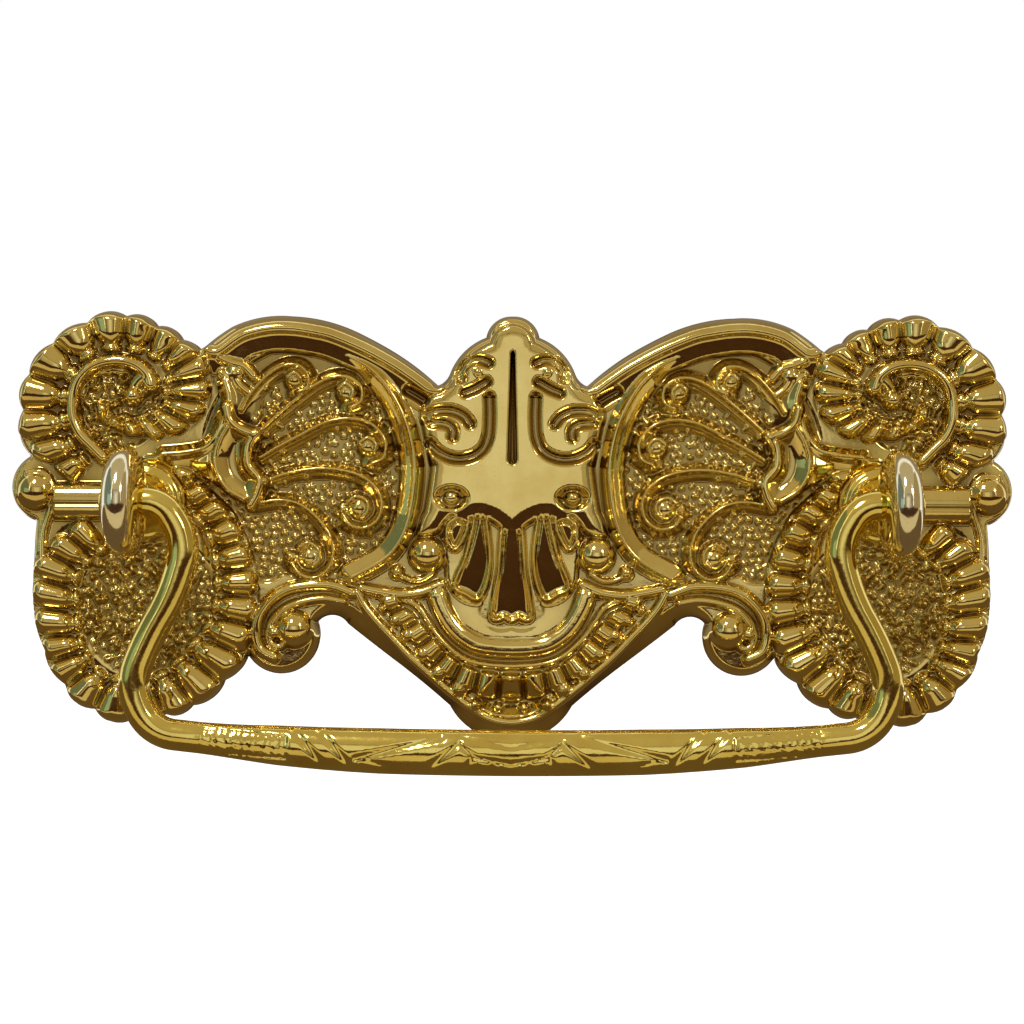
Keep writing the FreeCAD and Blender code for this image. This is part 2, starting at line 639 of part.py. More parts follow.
def nut(side):
    x = side * half_centres
    corner = nut_flats / math.sqrt(3)
    points = []
    for k in range(7):
        a = math.radians(60 * k + 30)
        points.append(raw(x + corner * math.cos(a), -drawer_front_t, corner * math.sin(a)))
    back = FreeCAD.Vector(0, 1, 0)
    body = Part.Face(Part.makePolygon(points)).extrude(back * nut_t)
    cone_r = nut_flats / 2 + nut_t + 0.05
    rear_base = raw(x, -drawer_front_t - nut_t, 0)
    rear = Part.makeCone(nut_flats / 2, cone_r, nut_t, rear_base, FreeCAD.Vector(0, -1, 0))
    body = body.common(rear)
    bore = Part.makeCylinder(thread_d / 2, nut_t + 2, raw(x, -drawer_front_t + 1, 0), back)
    return body.cut(bore).Solids[0]


def bail():
    hang_h = eye_h
    arm_r = arm_d / 2
    pin_r = pin_d / 2
    pin_end = half_centres + eye_t / 2 + pin_beyond_eye
    line = [at(x, hang_h, z) for x, z in bail_line]
    arm = swept(line, bar_section(arm_r, arm_r))
    pin_start = line[0].x - pin_into_arm
    along = FreeCAD.Vector(1, 0, 0)
    pin = Part.makeCylinder(pin_r, pin_end - pin_start, FreeCAD.Vector(pin_start, -hang_h, 0), along)
    tip = [e for e in pin.Edges if abs(e.CenterOfMass.x - pin_end) < 1e-6]
    pin = pin.makeChamfer(pin_chamfer, tip[:1])
    side = arm.fuse(pin)
    other = side.mirror(FreeCAD.Vector(0, 0, 0), FreeCAD.Vector(1, 0, 0))
    sections = []
    spine = [bail_line[-2]] + [(x, z) for x, z, swell in grip_sections]
    spine.append((-bail_line[-2][0], bail_line[-2][1]))
    for i, (x, z, swell) in enumerate(grip_sections):
        before = spine[i]
        after = spine[i + 2]
        if i == 0:
            after = (x, z)
        if i == len(grip_sections) - 1:
            before = (x, z)
        ux = (after[0] - before[0]) * grow
        uz = after[1] - before[1]
        size = math.hypot(ux, uz)
        half_z = arm_r + (grip_height / 2 - arm_r) * swell
        half_y = arm_r + (grip_depth / 2 - arm_r) * swell
        corners = []
        for u, v in bar_section(half_z, half_y):
            corners.append(at(x, hang_h + v, z) + FreeCAD.Vector(-uz / size * u, 0, ux / size * u))
        sections.append(corners)
    grip = skinned(sections)
    whole = grip.multiFuse([side, other]).removeSplitter()
    return whole.Solids[0]


def bar_section(half_wide, half_deep):
    corners = []
    for i in range(bar_sides):
        a = 2 * math.pi * (i + 0.5) / bar_sides
        corners.append((half_wide * math.cos(a), half_deep * math.sin(a)))
    return corners


os.makedirs("parts", exist_ok=True)
backplate().exportStep("parts/backplate.step")
post(-1).exportStep("parts/left_post.step")
post(1).exportStep("parts/right_post.step")
nut(-1).exportStep("parts/left_nut.step")
nut(1).exportStep("parts/right_nut.step")
bail().exportStep("parts/bail.step")
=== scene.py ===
import math
import random
import bpy
import numpy as np
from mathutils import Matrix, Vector
from mathutils.geometry import delaunay_2d_cdt


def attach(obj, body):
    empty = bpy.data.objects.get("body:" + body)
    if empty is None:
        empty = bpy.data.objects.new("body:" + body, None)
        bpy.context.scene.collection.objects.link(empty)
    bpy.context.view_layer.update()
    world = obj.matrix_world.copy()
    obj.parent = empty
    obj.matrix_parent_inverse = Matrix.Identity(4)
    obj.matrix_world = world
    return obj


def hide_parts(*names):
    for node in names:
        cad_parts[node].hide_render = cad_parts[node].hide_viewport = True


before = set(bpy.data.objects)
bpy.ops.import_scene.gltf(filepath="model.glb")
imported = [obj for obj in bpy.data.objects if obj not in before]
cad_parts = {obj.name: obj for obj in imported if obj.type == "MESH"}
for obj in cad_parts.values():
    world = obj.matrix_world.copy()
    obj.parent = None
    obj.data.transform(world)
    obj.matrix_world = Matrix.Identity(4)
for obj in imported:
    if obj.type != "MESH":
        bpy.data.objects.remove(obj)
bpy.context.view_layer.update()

# The plate is drawn in millimetres as a height field: x along the plate, z up,
# h forward from the drawer face. Only the left half is drawn, the right mirrors it.
MM = 0.001

# sizes shared with the solids
half_centres = 38.1
edge_growth = 1.0118
edge_growth_z0 = -0.83
sheet = 0.6
field_h = 2.2
shield_h = 3.2
leaf_h = 3.25
seat_r = 4.3
plate_hole_r = 2.65
flange_r = 3.9
flange_t = 1.1
flange_chamfer = 0.4
neck_r_low = 3.0
neck_r_high = 2.15
neck_waist_h = 6.4
neck_top_h = 8.3
eye_h = 12.6
eye_r = 5.5
eye_half_t = 1.6
eye_swell = 0.3
eye_hole_r = 1.57
pin_r = 1.5
spigot_r = 2.5
shank_r = 1.85
shank_plain = 15.0
thread_r = 2.08
thread_pitch = 0.79
thread_depth = 0.42
shank_length = 27.0
nut_flats = 8.7
nut_t = 3.2
drawer_front_t = 19.0
arm_r = 1.55
arm_start = 36.2
pin_end = 40.6
grip_end_x = 30.6
grip_top_z = -20.0
grip_half_z = 2.28
grip_half_y = 1.75
panel_start = 21.6
panel_end = 31.0
panel_half = 1.35

# heights of the drawn relief
edge_h = 0.5
shoulder_rise = 2.9
shoulder_width = 1.1
medallion_ground_h = 1.75
stippled_ground_h = 1.9
flute_valley_h = 2.15
flute_crest_h = 3.4
palmette_h = 2.55
petal_top_h = 3.09
petal_fall = 0.09
bowl_rise = 0.1
bead_ground_h = 2.12
side_bar_h = 3.45
lowest_h = 0.3
highest_h = 3.88

# A flute seen from its foot, 0, to its tip, 1: where the tip's round starts and
# how far it runs, how far the heel's runs, and the finger's half width.
tip_from = 0.76
tip_run = 0.26
heel_run = 0.36
finger_half = 0.49

# the height field's grid and the fineness of the meshes
cell = 0.07
grid_width = 53.2
grid_depth = 46.4
grid_low = -25.8
edge_reach = 3.0
fine_step = 0.147
plain_step = 0.22
back_step = 0.36
edge_step = 0.24

# Each edge point is (x, z, width of the sloped flange), start, middle and end of arcs.
left_edge = [
    (0, 19.4, 0.6), (-1.7, 18.9, 0.6), (-2.75, 17.2, 0.6), (-5.0, 15.75, 0.6),
    (-6.5, 13.4, 0.6), (-7.0, 12.65, 0.6), (-7.7, 12.2, 0.6), (-9.7, 13.9, 0.6),
    (-12.0, 15.5, 0.6), (-14.1, 16.7, 0.6), (-16.2, 17.75, 0.6), (-19.4, 18.85, 0.6),
    (-22.8, 19.3, 0.6), (-26.1, 19.15, 0.6), (-29.0, 18.2, 0.6), (-30.7, 17.05, 0.6),
    (-32.2, 15.8, 0.7), (-33.3, 16.6, 0.7), (-34.1, 16.8, 0.7), (-35.5, 18.1, 0.7),
    (-36.7, 18.2, 0.7), (-38.5, 19.4, 0.7), (-39.9, 19.2, 0.7), (-41.9, 19.7, 0.7),
    (-43.9, 18.5, 0.7), (-46.1, 17.9, 0.7), (-47.4, 16.4, 0.7), (-49.2, 15.1, 0.7),
    (-49.9, 13.1, 0.7), (-50.9, 11.3, 0.7), (-50.5, 9.4, 0.7), (-51.0, 7.4, 0.7),
    (-49.8, 4.7, 0.6), (-51.7, 1.1, 0.6), (-49.15, -2.0, 0.5), (-49.4, -5.3, 0.6),
    (-49.4, -8.6, 0.7), (-49.3, -12.0, 0.7), (-48.2, -15.2, 0.7), (-47.5, -17.4, 0.7),
    (-46.0, -18.9, 0.7), (-45.0, -20.7, 0.7), (-42.9, -21.4, 0.7), (-41.1, -22.8, 0.7),
    (-38.9, -22.3, 0.7), (-37.3, -22.8, 0.7), (-35.7, -21.9, 0.7), (-34.2, -22.0, 0.7),
    (-32.9, -21.0, 0.7), (-30.8, -20.2, 0.7), (-29.6, -18.4, 0.7), (-28.1, -17.4, 0.8),
    (-27.2, -15.8, 0.9), (-22.2, -17.35, 0.9), (-20.0, -12.3, 0.9), (-18.6, -11.6, 1.2),
    (-16.9, -12.5, 1.9), (-14.4, -14.45, 2.0), (-12.1, -16.2, 2.0), (-9.2, -18.45, 2.0),
    (-6.3, -20.9, 2.0), (-5.5, -22.1, 2.0), (-4.3, -23.2, 2.0), (-2.3, -24.3, 2.0),
    (0, -24.6, 2.0),
]

# Flutes in order round each shell: outer end x, z, then inner end x, z.
ear_flutes = [
    (-46.8, 3.0, -44.2, 4.7), (-49.6, 4.8, -45.3, 6.1), (-51.6, 7.6, -46.1, 8.4),
    (-51.5, 11.5, -46.1, 10.8), (-50.0, 15.5, -45.3, 12.9), (-46.4, 18.6, -43.9, 14.8),
    (-41.9, 20.2, -41.6, 15.5), (-38.4, 19.8, -39.3, 15.4), (-35.3, 18.5, -37.4, 14.7),
    (-32.9, 16.9, -36.2, 13.9), (-31.7, 14.4, -36.2, 12.6), (-31.4, 11.7, -36.5, 11.5),
    (-32.1, 9.2, -36.3, 10.5), (-34.3, 7.3, -37.3, 9.6), (-37.0, 6.6, -38.6, 9.1),
    (-39.2, 6.9, -40.1, 8.8), (-41.3, 7.8, -41.0, 9.0), (-43.0, 9.4, -41.7, 9.8),
]
low_flutes = [
    (-45.5, -2.2, -42.3, -5.4), (-47.6, -3.9, -43.6, -6.5), (-49.6, -6.3, -44.8, -8.0),
    (-49.8, -9.3, -44.6, -10.2), (-49.5, -12.4, -44.6, -12.7), (-48.6, -15.4, -44.2, -14.6),
    (-47.7, -18.0, -43.6, -15.9), (-45.2, -20.9, -42.4, -17.5), (-41.4, -22.7, -40.6, -18.0),
    (-37.6, -22.9, -38.4, -18.2), (-34.4, -22.2, -36.6, -17.6), (-31.1, -20.4, -35.1, -16.2),
    (-28.4, -17.5, -33.5, -14.4), (-27.2, -14.3, -31.9, -12.6), (-26.5, -11.2, -31.2, -10.6),
    (-26.5, -8.2, -31.0, -8.4), (-27.1, -5.3, -31.2, -6.2), (-28.2, -2.5, -31.7, -3.8),
    (-29.9, -0.1, -32.8, -2.0), (-31.6, 1.5, -34.2, 0.0), (-33.1, 3.1, -35.6, 2.3),
]
vee_flutes = [
    (-13.3, -10.4, -11.9, -10.0), (-12.0, -12.2, -10.4, -11.3), (-10.6, -14.0, -8.9, -12.9),
    (-9.0, -15.9, -7.5, -14.6), (-7.2, -17.7, -6.0, -16.0), (-5.1, -19.2, -4.3, -17.0),
    (-2.7, -20.3, -2.3, -17.5), (0.0, -20.7, 0.0, -17.7), (2.7, -20.3, 2.3, -17.5),
]
vee_beads = [
    (-5.35, -19.2, 1.1), (-7.55, -17.55, 1.0), (-9.25, -15.55, 0.85), (-10.8, -13.6, 0.8),
    (-12.1, -12.1, 0.65), (-1.35, -21.2, 0.6), (-3.7, -20.9, 0.7), (-13.4, -10.9, 0.5),
]

# Lines that ridges, bands and grooves follow.
ear_ring = [
    (-42.4, 4.6), (-43.5, 5.7), (-44.9, 7.2), (-45.6, 9.2), (-45.5, 11.5), (-44.6, 13.2),
    (-43.0, 14.3), (-41.0, 14.65), (-39.2, 14.3), (-37.9, 13.3), (-37.5, 12.1),
]
ear_comma = [(-37.6, 12.4), (-38.3, 12.9), (-39.0, 12.3), (-39.5, 11.4)]
ear_crescent = [(-44.6, 11.2), (-44.3, 12.6), (-43.2, 13.4), (-41.6, 13.7), (-40.5, 13.6)]
arch_line = [
    (-8.2, 12.9), (-10.0, 14.2), (-12.0, 15.5), (-15.0, 17.1), (-18.4, 18.5), (-20.6, 19.0),
    (-22.8, 19.3), (-25.0, 19.3), (-27.2, 18.9), (-29.0, 18.2), (-31.0, 16.75),
]
ring_line = [
    (-17.9, 15.5), (-16.6, 15.0), (-15.0, 14.1), (-13.2, 12.4), (-11.7, 10.0), (-10.7, 7.4),
    (-10.1, 4.2), (-10.2, 1.2), (-10.7, -1.6), (-11.7, -4.0), (-13.4, -5.9), (-16.6, -7.7),
]
tendril_lines = [
    [(-28.2, 9.6), (-27.4, 11.0), (-26.3, 12.4), (-25.0, 13.6), (-23.5, 14.3), (-22.1, 14.2),
     (-21.2, 13.2), (-21.3, 12.0), (-22.2, 11.5)],
    [(-26.2, 7.5), (-24.2, 9.3), (-22.3, 10.9), (-20.4, 12.3), (-18.6, 13.1), (-16.9, 13.0),
     (-15.7, 12.0), (-15.7, 10.6), (-16.8, 9.9)],
    [(-26.2, 4.7), (-24.2, 5.9), (-22.1, 7.0), (-19.6, 8.3), (-17.3, 8.8), (-15.2, 8.5),
     (-13.8, 7.5), (-13.1, 6.1), (-13.4, 4.7), (-14.6, 4.1)],
    [(-25.5, 2.4), (-22.9, 3.2), (-20.2, 3.6), (-17.7, 3.45), (-15.6, 2.8), (-14.1, 1.6),
     (-13.5, 0.0), (-13.9, -1.6), (-15.2, -2.5), (-16.7, -2.3), (-17.5, -1.2)],
    [(-26.6, -0.1), (-24.4, 0.3), (-22.3, 0.0), (-20.5, -1.2), (-19.1, -2.9), (-18.5, -4.8),
     (-18.9, -6.6), (-20.3, -7.7), (-21.9, -7.4), (-22.8, -6.2)],
]
volutes = [
    (-22.6, 12.7, 1.15), (-17.2, 11.5, 1.2), (-14.9, 5.9, 1.2), (-15.8, -0.5, 1.3),
    (-20.9, -5.6, 1.35),
]
curls = [
    [(-23.3, 13.0), (-22.6, 13.5), (-21.9, 12.9)],
    [(-18.0, 11.8), (-17.3, 12.4), (-16.5, 11.7), (-16.7, 10.9)],
    [(-15.8, 6.3), (-14.9, 6.8), (-14.1, 6.1), (-14.3, 5.3)],
    [(-17.0, 0.1), (-16.2, 0.7), (-15.1, 0.3), (-14.9, -0.7), (-15.5, -1.4)],
    [(-22.0, -4.6), (-21.1, -4.1), (-20.1, -4.7), (-19.9, -5.8), (-20.6, -6.5)],
]
leaf_loop = [
    (-29.3, 10.2), (-28.9, 8.4), (-26.6, 7.1), (-27.3, 4.8), (-25.7, 2.4), (-26.5, 1.2),
    (-26.9, -0.4), (-29.4, 1.2), (-31.6, 2.3), (-33.6, 3.3), (-36.2, 4.1), (-36.5, 4.5),
    (-36.2, 4.9), (-33.6, 5.2), (-31.5, 6.0), (-30.3, 7.9), (-29.3, 10.2),
]
leaf_ridges = [
    [(-29.6, 10.0), (-29.2, 8.5), (-28.2, 7.6), (-26.6, 7.0)],
    [(-26.5, 7.2), (-27.35, 5.8), (-27.3, 3.9), (-26.2, 2.4), (-26.4, 0.9), (-27.0, -0.3)],
]
leaf_crease = [
    (-29.5, 7.9), (-30.3, 6.4), (-30.75, 4.6), (-30.4, 2.8), (-29.4, 1.4), (-27.8, 0.4),
]
leaf_back = [
    (-26.9, 0.6), (-26.3, 2.4), (-27.1, 4.0), (-27.2, 5.8), (-26.9, 7.1), (-28.4, 7.6),
]
wing_edge = [
    (-36.3, 5.0), (-34.0, 5.2), (-31.8, 5.7), (-30.7, 7.0), (-29.9, 8.8), (-29.4, 10.6),
    (-29.9, 12.6),
]
wing_falls_from = -31.5
bud_lines = [
    [(-30.4, 15.0), (-29.2, 14.5), (-27.9, 14.1), (-26.9, 13.1)],
    [(-30.2, 13.4), (-29.0, 13.0), (-28.2, 12.0), (-27.4, 11.4)],
]
scroll_line = [
    (-16.5, -9.3), (-18.7, -8.55), (-21.3, -8.55), (-23.6, -9.1), (-25.3, -10.4),
    (-26.3, -12.0), (-26.5, -13.7), (-26.0, -15.2), (-24.6, -16.0),
]
scroll_inner = [
    (-17.4, -10.2), (-19.4, -9.9), (-21.6, -10.2), (-23.4, -10.9), (-24.7, -12.1),
    (-25.2, -13.5), (-24.9, -14.6), (-24.0, -14.9), (-23.4, -14.2),
]
vee_rim = [
    (-15.9, -9.4), (-15.2, -10.7), (-14.0, -12.2), (-12.4, -13.9), (-10.5, -15.9),
    (-8.6, -17.6), (-6.4, -19.5), (-4.2, -21.2), (-2.4, -22.3), (0, -22.75), (2.4, -22.3),
]
vee_inner = [
    (-13.3, -9.9), (-11.2, -10.0), (-9.7, -10.7), (-8.7, -12.1), (-7.8, -13.5),
    (-6.5, -14.9), (-5.0, -16.0), (-3.2, -16.6), (0, -16.85), (3.2, -16.6),
]
bowl_band = [
    (-7.6, -9.6), (-7.0, -11.2), (-6.0, -12.8), (-4.7, -14.0), (-3.0, -14.75), (0, -15.0),
    (3.0, -14.75),
]
bowl_lip = [(-7.4, -8.4), (-9.4, -9.2), (-11.6, -9.45), (-13.6, -9.2), (-15.6, -8.8)]
web_tail = [(-11.7, -7.4), (-10.6, -7.9), (-9.4, -7.9), (-8.2, -7.2)]
shield_loop = [
    (0, 18.6), (-1.2, 18.2), (-2.2, 16.7), (-4.5, 15.2), (-5.9, 13.1), (-6.7, 11.9),
    (-8.0, 11.2), (-9.3, 10.0), (-9.2, 8.2), (-8.8, 6.1), (-8.3, 3.8), (-8.6, 1.4),
    (-9.0, -0.8), (-9.6, -2.2), (-9.8, -3.3), (-8.8, -3.4), (-7.5, -2.8), (-6.4, -1.4),
    (-5.0, -0.5), (-4.0, -0.1), (-3.0, -0.1), (-1.4, -0.7), (0, -1.8),
]
palmette_loop = [
    (0, -0.6), (-0.9, -1.0), (-1.8, -1.2), (-3.6, -0.8), (-5.0, -1.0), (-6.4, -1.7),
    (-7.2, -3.0), (-6.9, -5.4), (-6.7, -7.9), (-5.4, -9.9), (-3.2, -10.5),
    (-3.2, -11.7), (-2.4, -12.7), (-1.3, -13.1), (0, -12.9),
]

# Petals: where the floor starts to fall, then the outline.
petals = [
    (-3.1, [(0.85, -2.6), (0, -1.9), (-0.85, -2.6), (-1.25, -7.0), (-1.95, -11.3), (-1.4, -11.9),
            (-0.8, -11.6), (0, -12.0), (0.8, -11.6), (1.4, -11.9), (1.95, -11.3), (1.25, -7.0),
            (0.85, -2.6)]),
    (-1.5, [(-2.9, -0.8), (-3.6, -0.5), (-3.9, -2.4), (-4.7, -5.6), (-5.8, -8.4), (-4.8, -9.2),
            (-3.3, -9.6), (-2.4, -6.0), (-2.9, -0.8)]),
    (-3.4, [(-4.6, -1.9), (-5.6, -1.6), (-6.5, -2.2), (-6.6, -3.6), (-5.9, -4.6), (-5.1, -3.4),
            (-4.6, -1.9)]),
]
slot_line = [(0, 15.6), (0, 14.0), (0, 4.6)]
shield_grooves = [
    [(-2.4, 11.0), (-2.35, 9.0), (-2.5, 7.0), (-3.2, 5.5), (-4.6, 4.75), (-6.2, 4.7),
     (-7.6, 5.3), (-8.5, 6.2)],
    [(-8.9, 9.2), (-7.7, 9.6), (-6.3, 9.6), (-5.1, 9.1), (-4.4, 8.3)],
    [(-8.4, 8.4), (-7.0, 8.25), (-6.2, 7.7), (-6.2, 6.9)],
    [(-5.35, 12.9), (-5.3, 13.8), (-4.6, 14.6), (-3.5, 14.9), (-2.5, 14.6)],
    [(-4.9, 11.5), (-3.9, 11.9), (-2.7, 12.6)],
    [(-10.9, 11.7), (-10.0, 11.2), (-9.2, 10.7)],
]

# Smooth domes: x, z, radius, top height.
domes = [
    (-49.45, 1.1, 2.05, 3.6), (-8.8, -5.3, 1.95, 3.85), (-22.6, -13.1, 2.0, 3.85),
    (-39.4, 11.0, 1.1, 3.5), (-11.9, -7.1, 0.8, 3.0), (-24.7, -13.4, 0.8, 3.2),
    (-28.9, 13.4, 1.1, 3.0), (-25.6, 2.3, 0.55, 3.4), (-6.3, -3.1, 0.45, 3.2),
]

# Places the bail rests on: distance from the middle, z, full and outer radius,
# share of the height lost.
bail_rests = [
    (0.0, -22.8, 2.9, 5.0, 0.18), (34.7, -21.1, 0.8, 2.2, 0.06), (36.4, 17.6, 1.0, 2.6, 0.15),
]

# Small places: the sunk dimple, the side bar, and a rim beside it.
dimple = (-6.3, 0.6)
side_bar_end = -47.9
side_bar_z = 0.1
side_bar_half = 2.0
side_rim = [
    (-50.4, 2.9), (-48.9, 3.1), (-47.9, 2.2), (-47.7, 0.8), (-48.0, -1.0), (-48.6, -3.4),
    (-48.7, -6.0),
]

# Ovals of sunk and stippled ground: middle x, z, half width, half height. The
# pebbled ones have a count of pebbles too, and the corner has one radius.
medallion_oval = (-21.3, 4.4, 11.2, 12.2)
ground_corner = (-25.6, -6.1, 2.3)
ear_oval = (-41.3, 10.2, 5.2, 5.2)
shell_oval = (-37.6, -10.8, 7.8, 7.8)
bowl_oval = (0.0, -7.0, 8.0, 7.8)
bowl_rises_from = -8.5
bead_spacing = 0.98
bead_ovals = [
    (-21.3, 4.3, 10.9, 11.9), (-41.3, 9.9, 5.0, 5.0), (-37.6, -10.8, 7.5, 7.5),
    (-25.6, -6.1, 2.0, 2.0),
]
pebble_fields = [(-41.4, 9.6, 4.5, 4.8, 95), (-38.0, -10.8, 7.0, 6.8, 190)]

# Sections of ridges: sideways to the left of the line, and rise.
arch_section = [
    (0.25, 0.0), (0.55, 0.5), (0.9, 0.8), (1.2, 0.88), (1.5, 0.78), (1.75, 0.5), (2.0, 0.4),
    (3.4, 0.2), (3.6, -0.1), (3.75, -0.9),
]
ring_section = [
    (-1.7, -0.6), (-1.45, 0.1), (-0.95, 0.42), (-0.35, 0.75), (-0.1, 0.95), (0.1, 0.95),
    (0.35, 0.55), (0.9, 0.1), (1.2, -0.3),
]
wing_section = [
    (-3.4, -0.35), (-2.4, -0.12), (-1.6, 0.1), (-0.8, 0.4), (-0.2, 0.75), (0.1, 0.8),
    (0.4, 0.4), (0.9, -0.1), (1.6, -0.4),
]
# A sharp crest on the outside of each scroll, with a sloping face inside it.
tendril_section = [
    (-1.5, -0.4), (-1.2, -0.05), (-0.95, 0.2), (-0.7, 0.36), (-0.42, 0.5), (-0.3, 0.9),
    (-0.05, 1.25), (0.12, 1.2), (0.4, 0.5), (0.75, 0.05), (1.0, -0.2),
]
bowl_section = [
    (-1.35, -0.2), (-1.1, 0.05), (-0.8, 0.75), (-0.35, 0.95), (0.3, 0.95), (0.8, 0.7),
    (1.0, 0.2), (1.15, -0.2),
]

# The bail: corners of one arm, points along half the grip, and how full it is there.
arm_corners = [
    (arm_start, 0.0), (34.4, 0.0), (32.0, -4.0), (33.4, -9.2), (35.9, -13.6), (37.6, -18.0),
    (35.6, -22.7), (grip_end_x, -23.25),
]
grip_points = [(23.0, -23.95), (13.0, -24.45), (0.0, -24.6)]
grip_swell = [(grip_end_x, 0.0), (23.0, 0.55), (13.0, 0.92), (0.0, 1.0)]

# Engraved lines on one half of the grip: two ends, half width, depth.
grip_cuts = [
    ((17.5, -26.6), (21.4, -22.2), 0.42, 0.2), ((14.9, -26.6), (18.8, -22.3), 0.42, 0.2),
    ((6.8, -23.0), (15.2, -25.0), 0.42, 0.18), ((5.1, -23.6), (9.0, -26.5), 0.42, 0.18),
    ((0.0, -25.5), (3.4, -24.9), 0.3, 0.15), ((3.4, -24.9), (5.2, -23.6), 0.3, 0.15),
    ((0.0, -23.9), (5.0, -22.9), 0.24, 0.1), ((1.8, -25.3), (1.8, -26.6), 0.26, 0.15),
    ((3.8, -24.8), (4.6, -26.5), 0.28, 0.16), ((10.2, -26.4), (14.9, -24.9), 0.28, 0.12),
]


def arc_points(loop, step):
    # Samples along arcs given as start, middle, end, and so on.
    out = []
    for i in range(0, len(loop) - 2, 2):
        a, m, b = (np.array(loop[i + k][:2], float) for k in range(3))
        cross = (m[0] - a[0]) * (b[1] - m[1]) - (m[1] - a[1]) * (b[0] - m[0])
        count = max(2, int(round(np.linalg.norm(b - a) * 1.15 / step)))
        if abs(cross) < 1e-4 * ((b - a) ** 2).sum():
            pts = [a + (b - a) * k / count for k in range(count)]
        else:
            sides = np.array([2 * (m - a), 2 * (b - a)])
            c = np.linalg.solve(sides, np.array([m @ m - a @ a, b @ b - a @ a]))
            r = np.linalg.norm(a - c)
            t0 = math.atan2(a[1] - c[1], a[0] - c[0])
            t1 = math.atan2(b[1] - c[1], b[0] - c[0])
            turn = (t1 - t0) % (2 * math.pi)
            if cross < 0:
                turn -= 2 * math.pi
            count = max(2, int(round(abs(turn) * r / step)))
            pts = [c + r * np.array([math.cos(t0 + turn * k / count),
                                     math.sin(t0 + turn * k / count)]) for k in range(count)]
        for k, p in enumerate(pts):
            share = k / count
            extra = [v0 + (v1 - v0) * share for v0, v1 in zip(loop[i][2:], loop[i + 2][2:])]
            out.append((p[0], p[1], *extra))
    out.append(tuple(float(v) for v in loop[-1]))
    return out


def smooth_points(line, step=0.2):
    # A smooth curve through the given points.
    p = [np.array(v, float) for v in line]
    p = [2 * p[0] - p[1]] + p + [2 * p[-1] - p[-2]]
    out = []
    for i in range(1, len(p) - 2):
        count = max(1, int(round(np.linalg.norm(p[i + 1] - p[i]) / step)))
        for k in range(count):
            t = k / count
            q = 0.5 * (2 * p[i] + (p[i + 1] - p[i - 1]) * t
                       + (2 * p[i - 1] - 5 * p[i] + 4 * p[i + 1] - p[i + 2]) * t ** 2
                       + (3 * p[i] - p[i - 1] - 3 * p[i + 1] + p[i + 2]) * t ** 3)
            out.append((q[0], q[1]))
    out.append(tuple(p[-2]))
    return out


columns = int(round(grid_width / cell)) + 1
rows = int(round(grid_depth / cell)) + 1
grid_x = (np.arange(columns) - (columns - 1)) * cell
grid_z = grid_low + np.arange(rows) * cell
X, Z = np.meshgrid(grid_x, grid_z)
height = np.zeros(X.shape)


def window(xa, xb, za, zb):
    # The part of the grid that covers a rectangle.
    c0 = max(0, int((xa - grid_x[0]) / cell))
    c1 = min(columns, int((xb - grid_x[0]) / cell) + 2)
    r0 = max(0, int((za - grid_z[0]) / cell))
    r1 = min(rows, int((zb - grid_z[0]) / cell) + 2)
    return slice(r0, r1), slice(c0, max(c0, c1))


def near_line(points, reach, carry=None):
    # Distance to a line of points, the side of it (1 to its left), how far along
    # it is, and the value carried by its points.
    dist = np.full(X.shape, 1e3)
    side = np.zeros(X.shape)
    along = np.zeros(X.shape)
    value = np.zeros(X.shape)
    xz = np.array([p[:2] for p in points])
    runs = np.linalg.norm(np.diff(xz, axis=0), axis=1)
    done = 0.0
    for i, run in enumerate(runs):
        if run < 1e-9:
            continue
        a, b = xz[i], xz[i + 1]
        if min(a[0], b[0]) - reach > 0:
            done += run
            continue
        w = window(min(a[0], b[0]) - reach, max(a[0], b[0]) + reach,
                   min(a[1], b[1]) - reach, max(a[1], b[1]) + reach)
        px, pz = X[w] - a[0], Z[w] - a[1]
        ux, uz = (b - a) / run
        t = np.clip(px * ux + pz * uz, 0, run)
        d = np.hypot(px - ux * t, pz - uz * t)
        closer = d < dist[w]
        dist[w] = np.where(closer, d, dist[w])
        side[w] = np.where(closer, np.sign(ux * pz - uz * px), side[w])
        along[w] = np.where(closer, (done + t) / runs.sum(), along[w])
        if carry is not None:
            v = carry[i] + (carry[i + 1] - carry[i]) * t / run
            value[w] = np.where(closer, v, value[w])
        done += run
    return dist, side, along, value


def inside_loop(points):
    # True where the grid is inside a closed loop of points.
    flips = np.zeros((rows, columns + 1), dtype=np.int32)
    for (xa, za), (xb, zb) in zip(points, points[1:] + points[:1]):
        if za == zb:
            continue
        low, high = sorted((za, zb))
        r0 = int(math.ceil((low - grid_z[0]) / cell))
        r1 = int(math.ceil((high - grid_z[0]) / cell))
        r = np.arange(max(r0, 0), min(r1, rows))
        if len(r) == 0:
            continue
        x = xa + (xb - xa) * (grid_z[r] - za) / (zb - za)
        c = np.clip(np.ceil((x - grid_x[0]) / cell).astype(int), 0, columns)
        np.add.at(flips, (r, c), 1)
    return (np.cumsum(flips, axis=1)[:, :columns] % 2) == 1


def signed_loop(points, reach):
    # Distance in from a closed loop, negative outside.
    dist = np.minimum(near_line(points + points[:1], reach)[0], reach)
    return np.where(inside_loop(points), dist, -dist)


def mirrored_loop(half):
    # A half outline from the middle line round to the middle line, and its mirror.
    return half + [(-x, z) for x, z in half[-2:0:-1]]


def soft_max(a, b, k):
    overlap = np.clip(1 - np.abs(a - b) / k, 0, 1)
    return np.maximum(a, b) + 0.25 * k * overlap ** 2


def smooth_step(t):
    t = np.clip(t, 0, 1)
    return t * t * (3 - 2 * t)


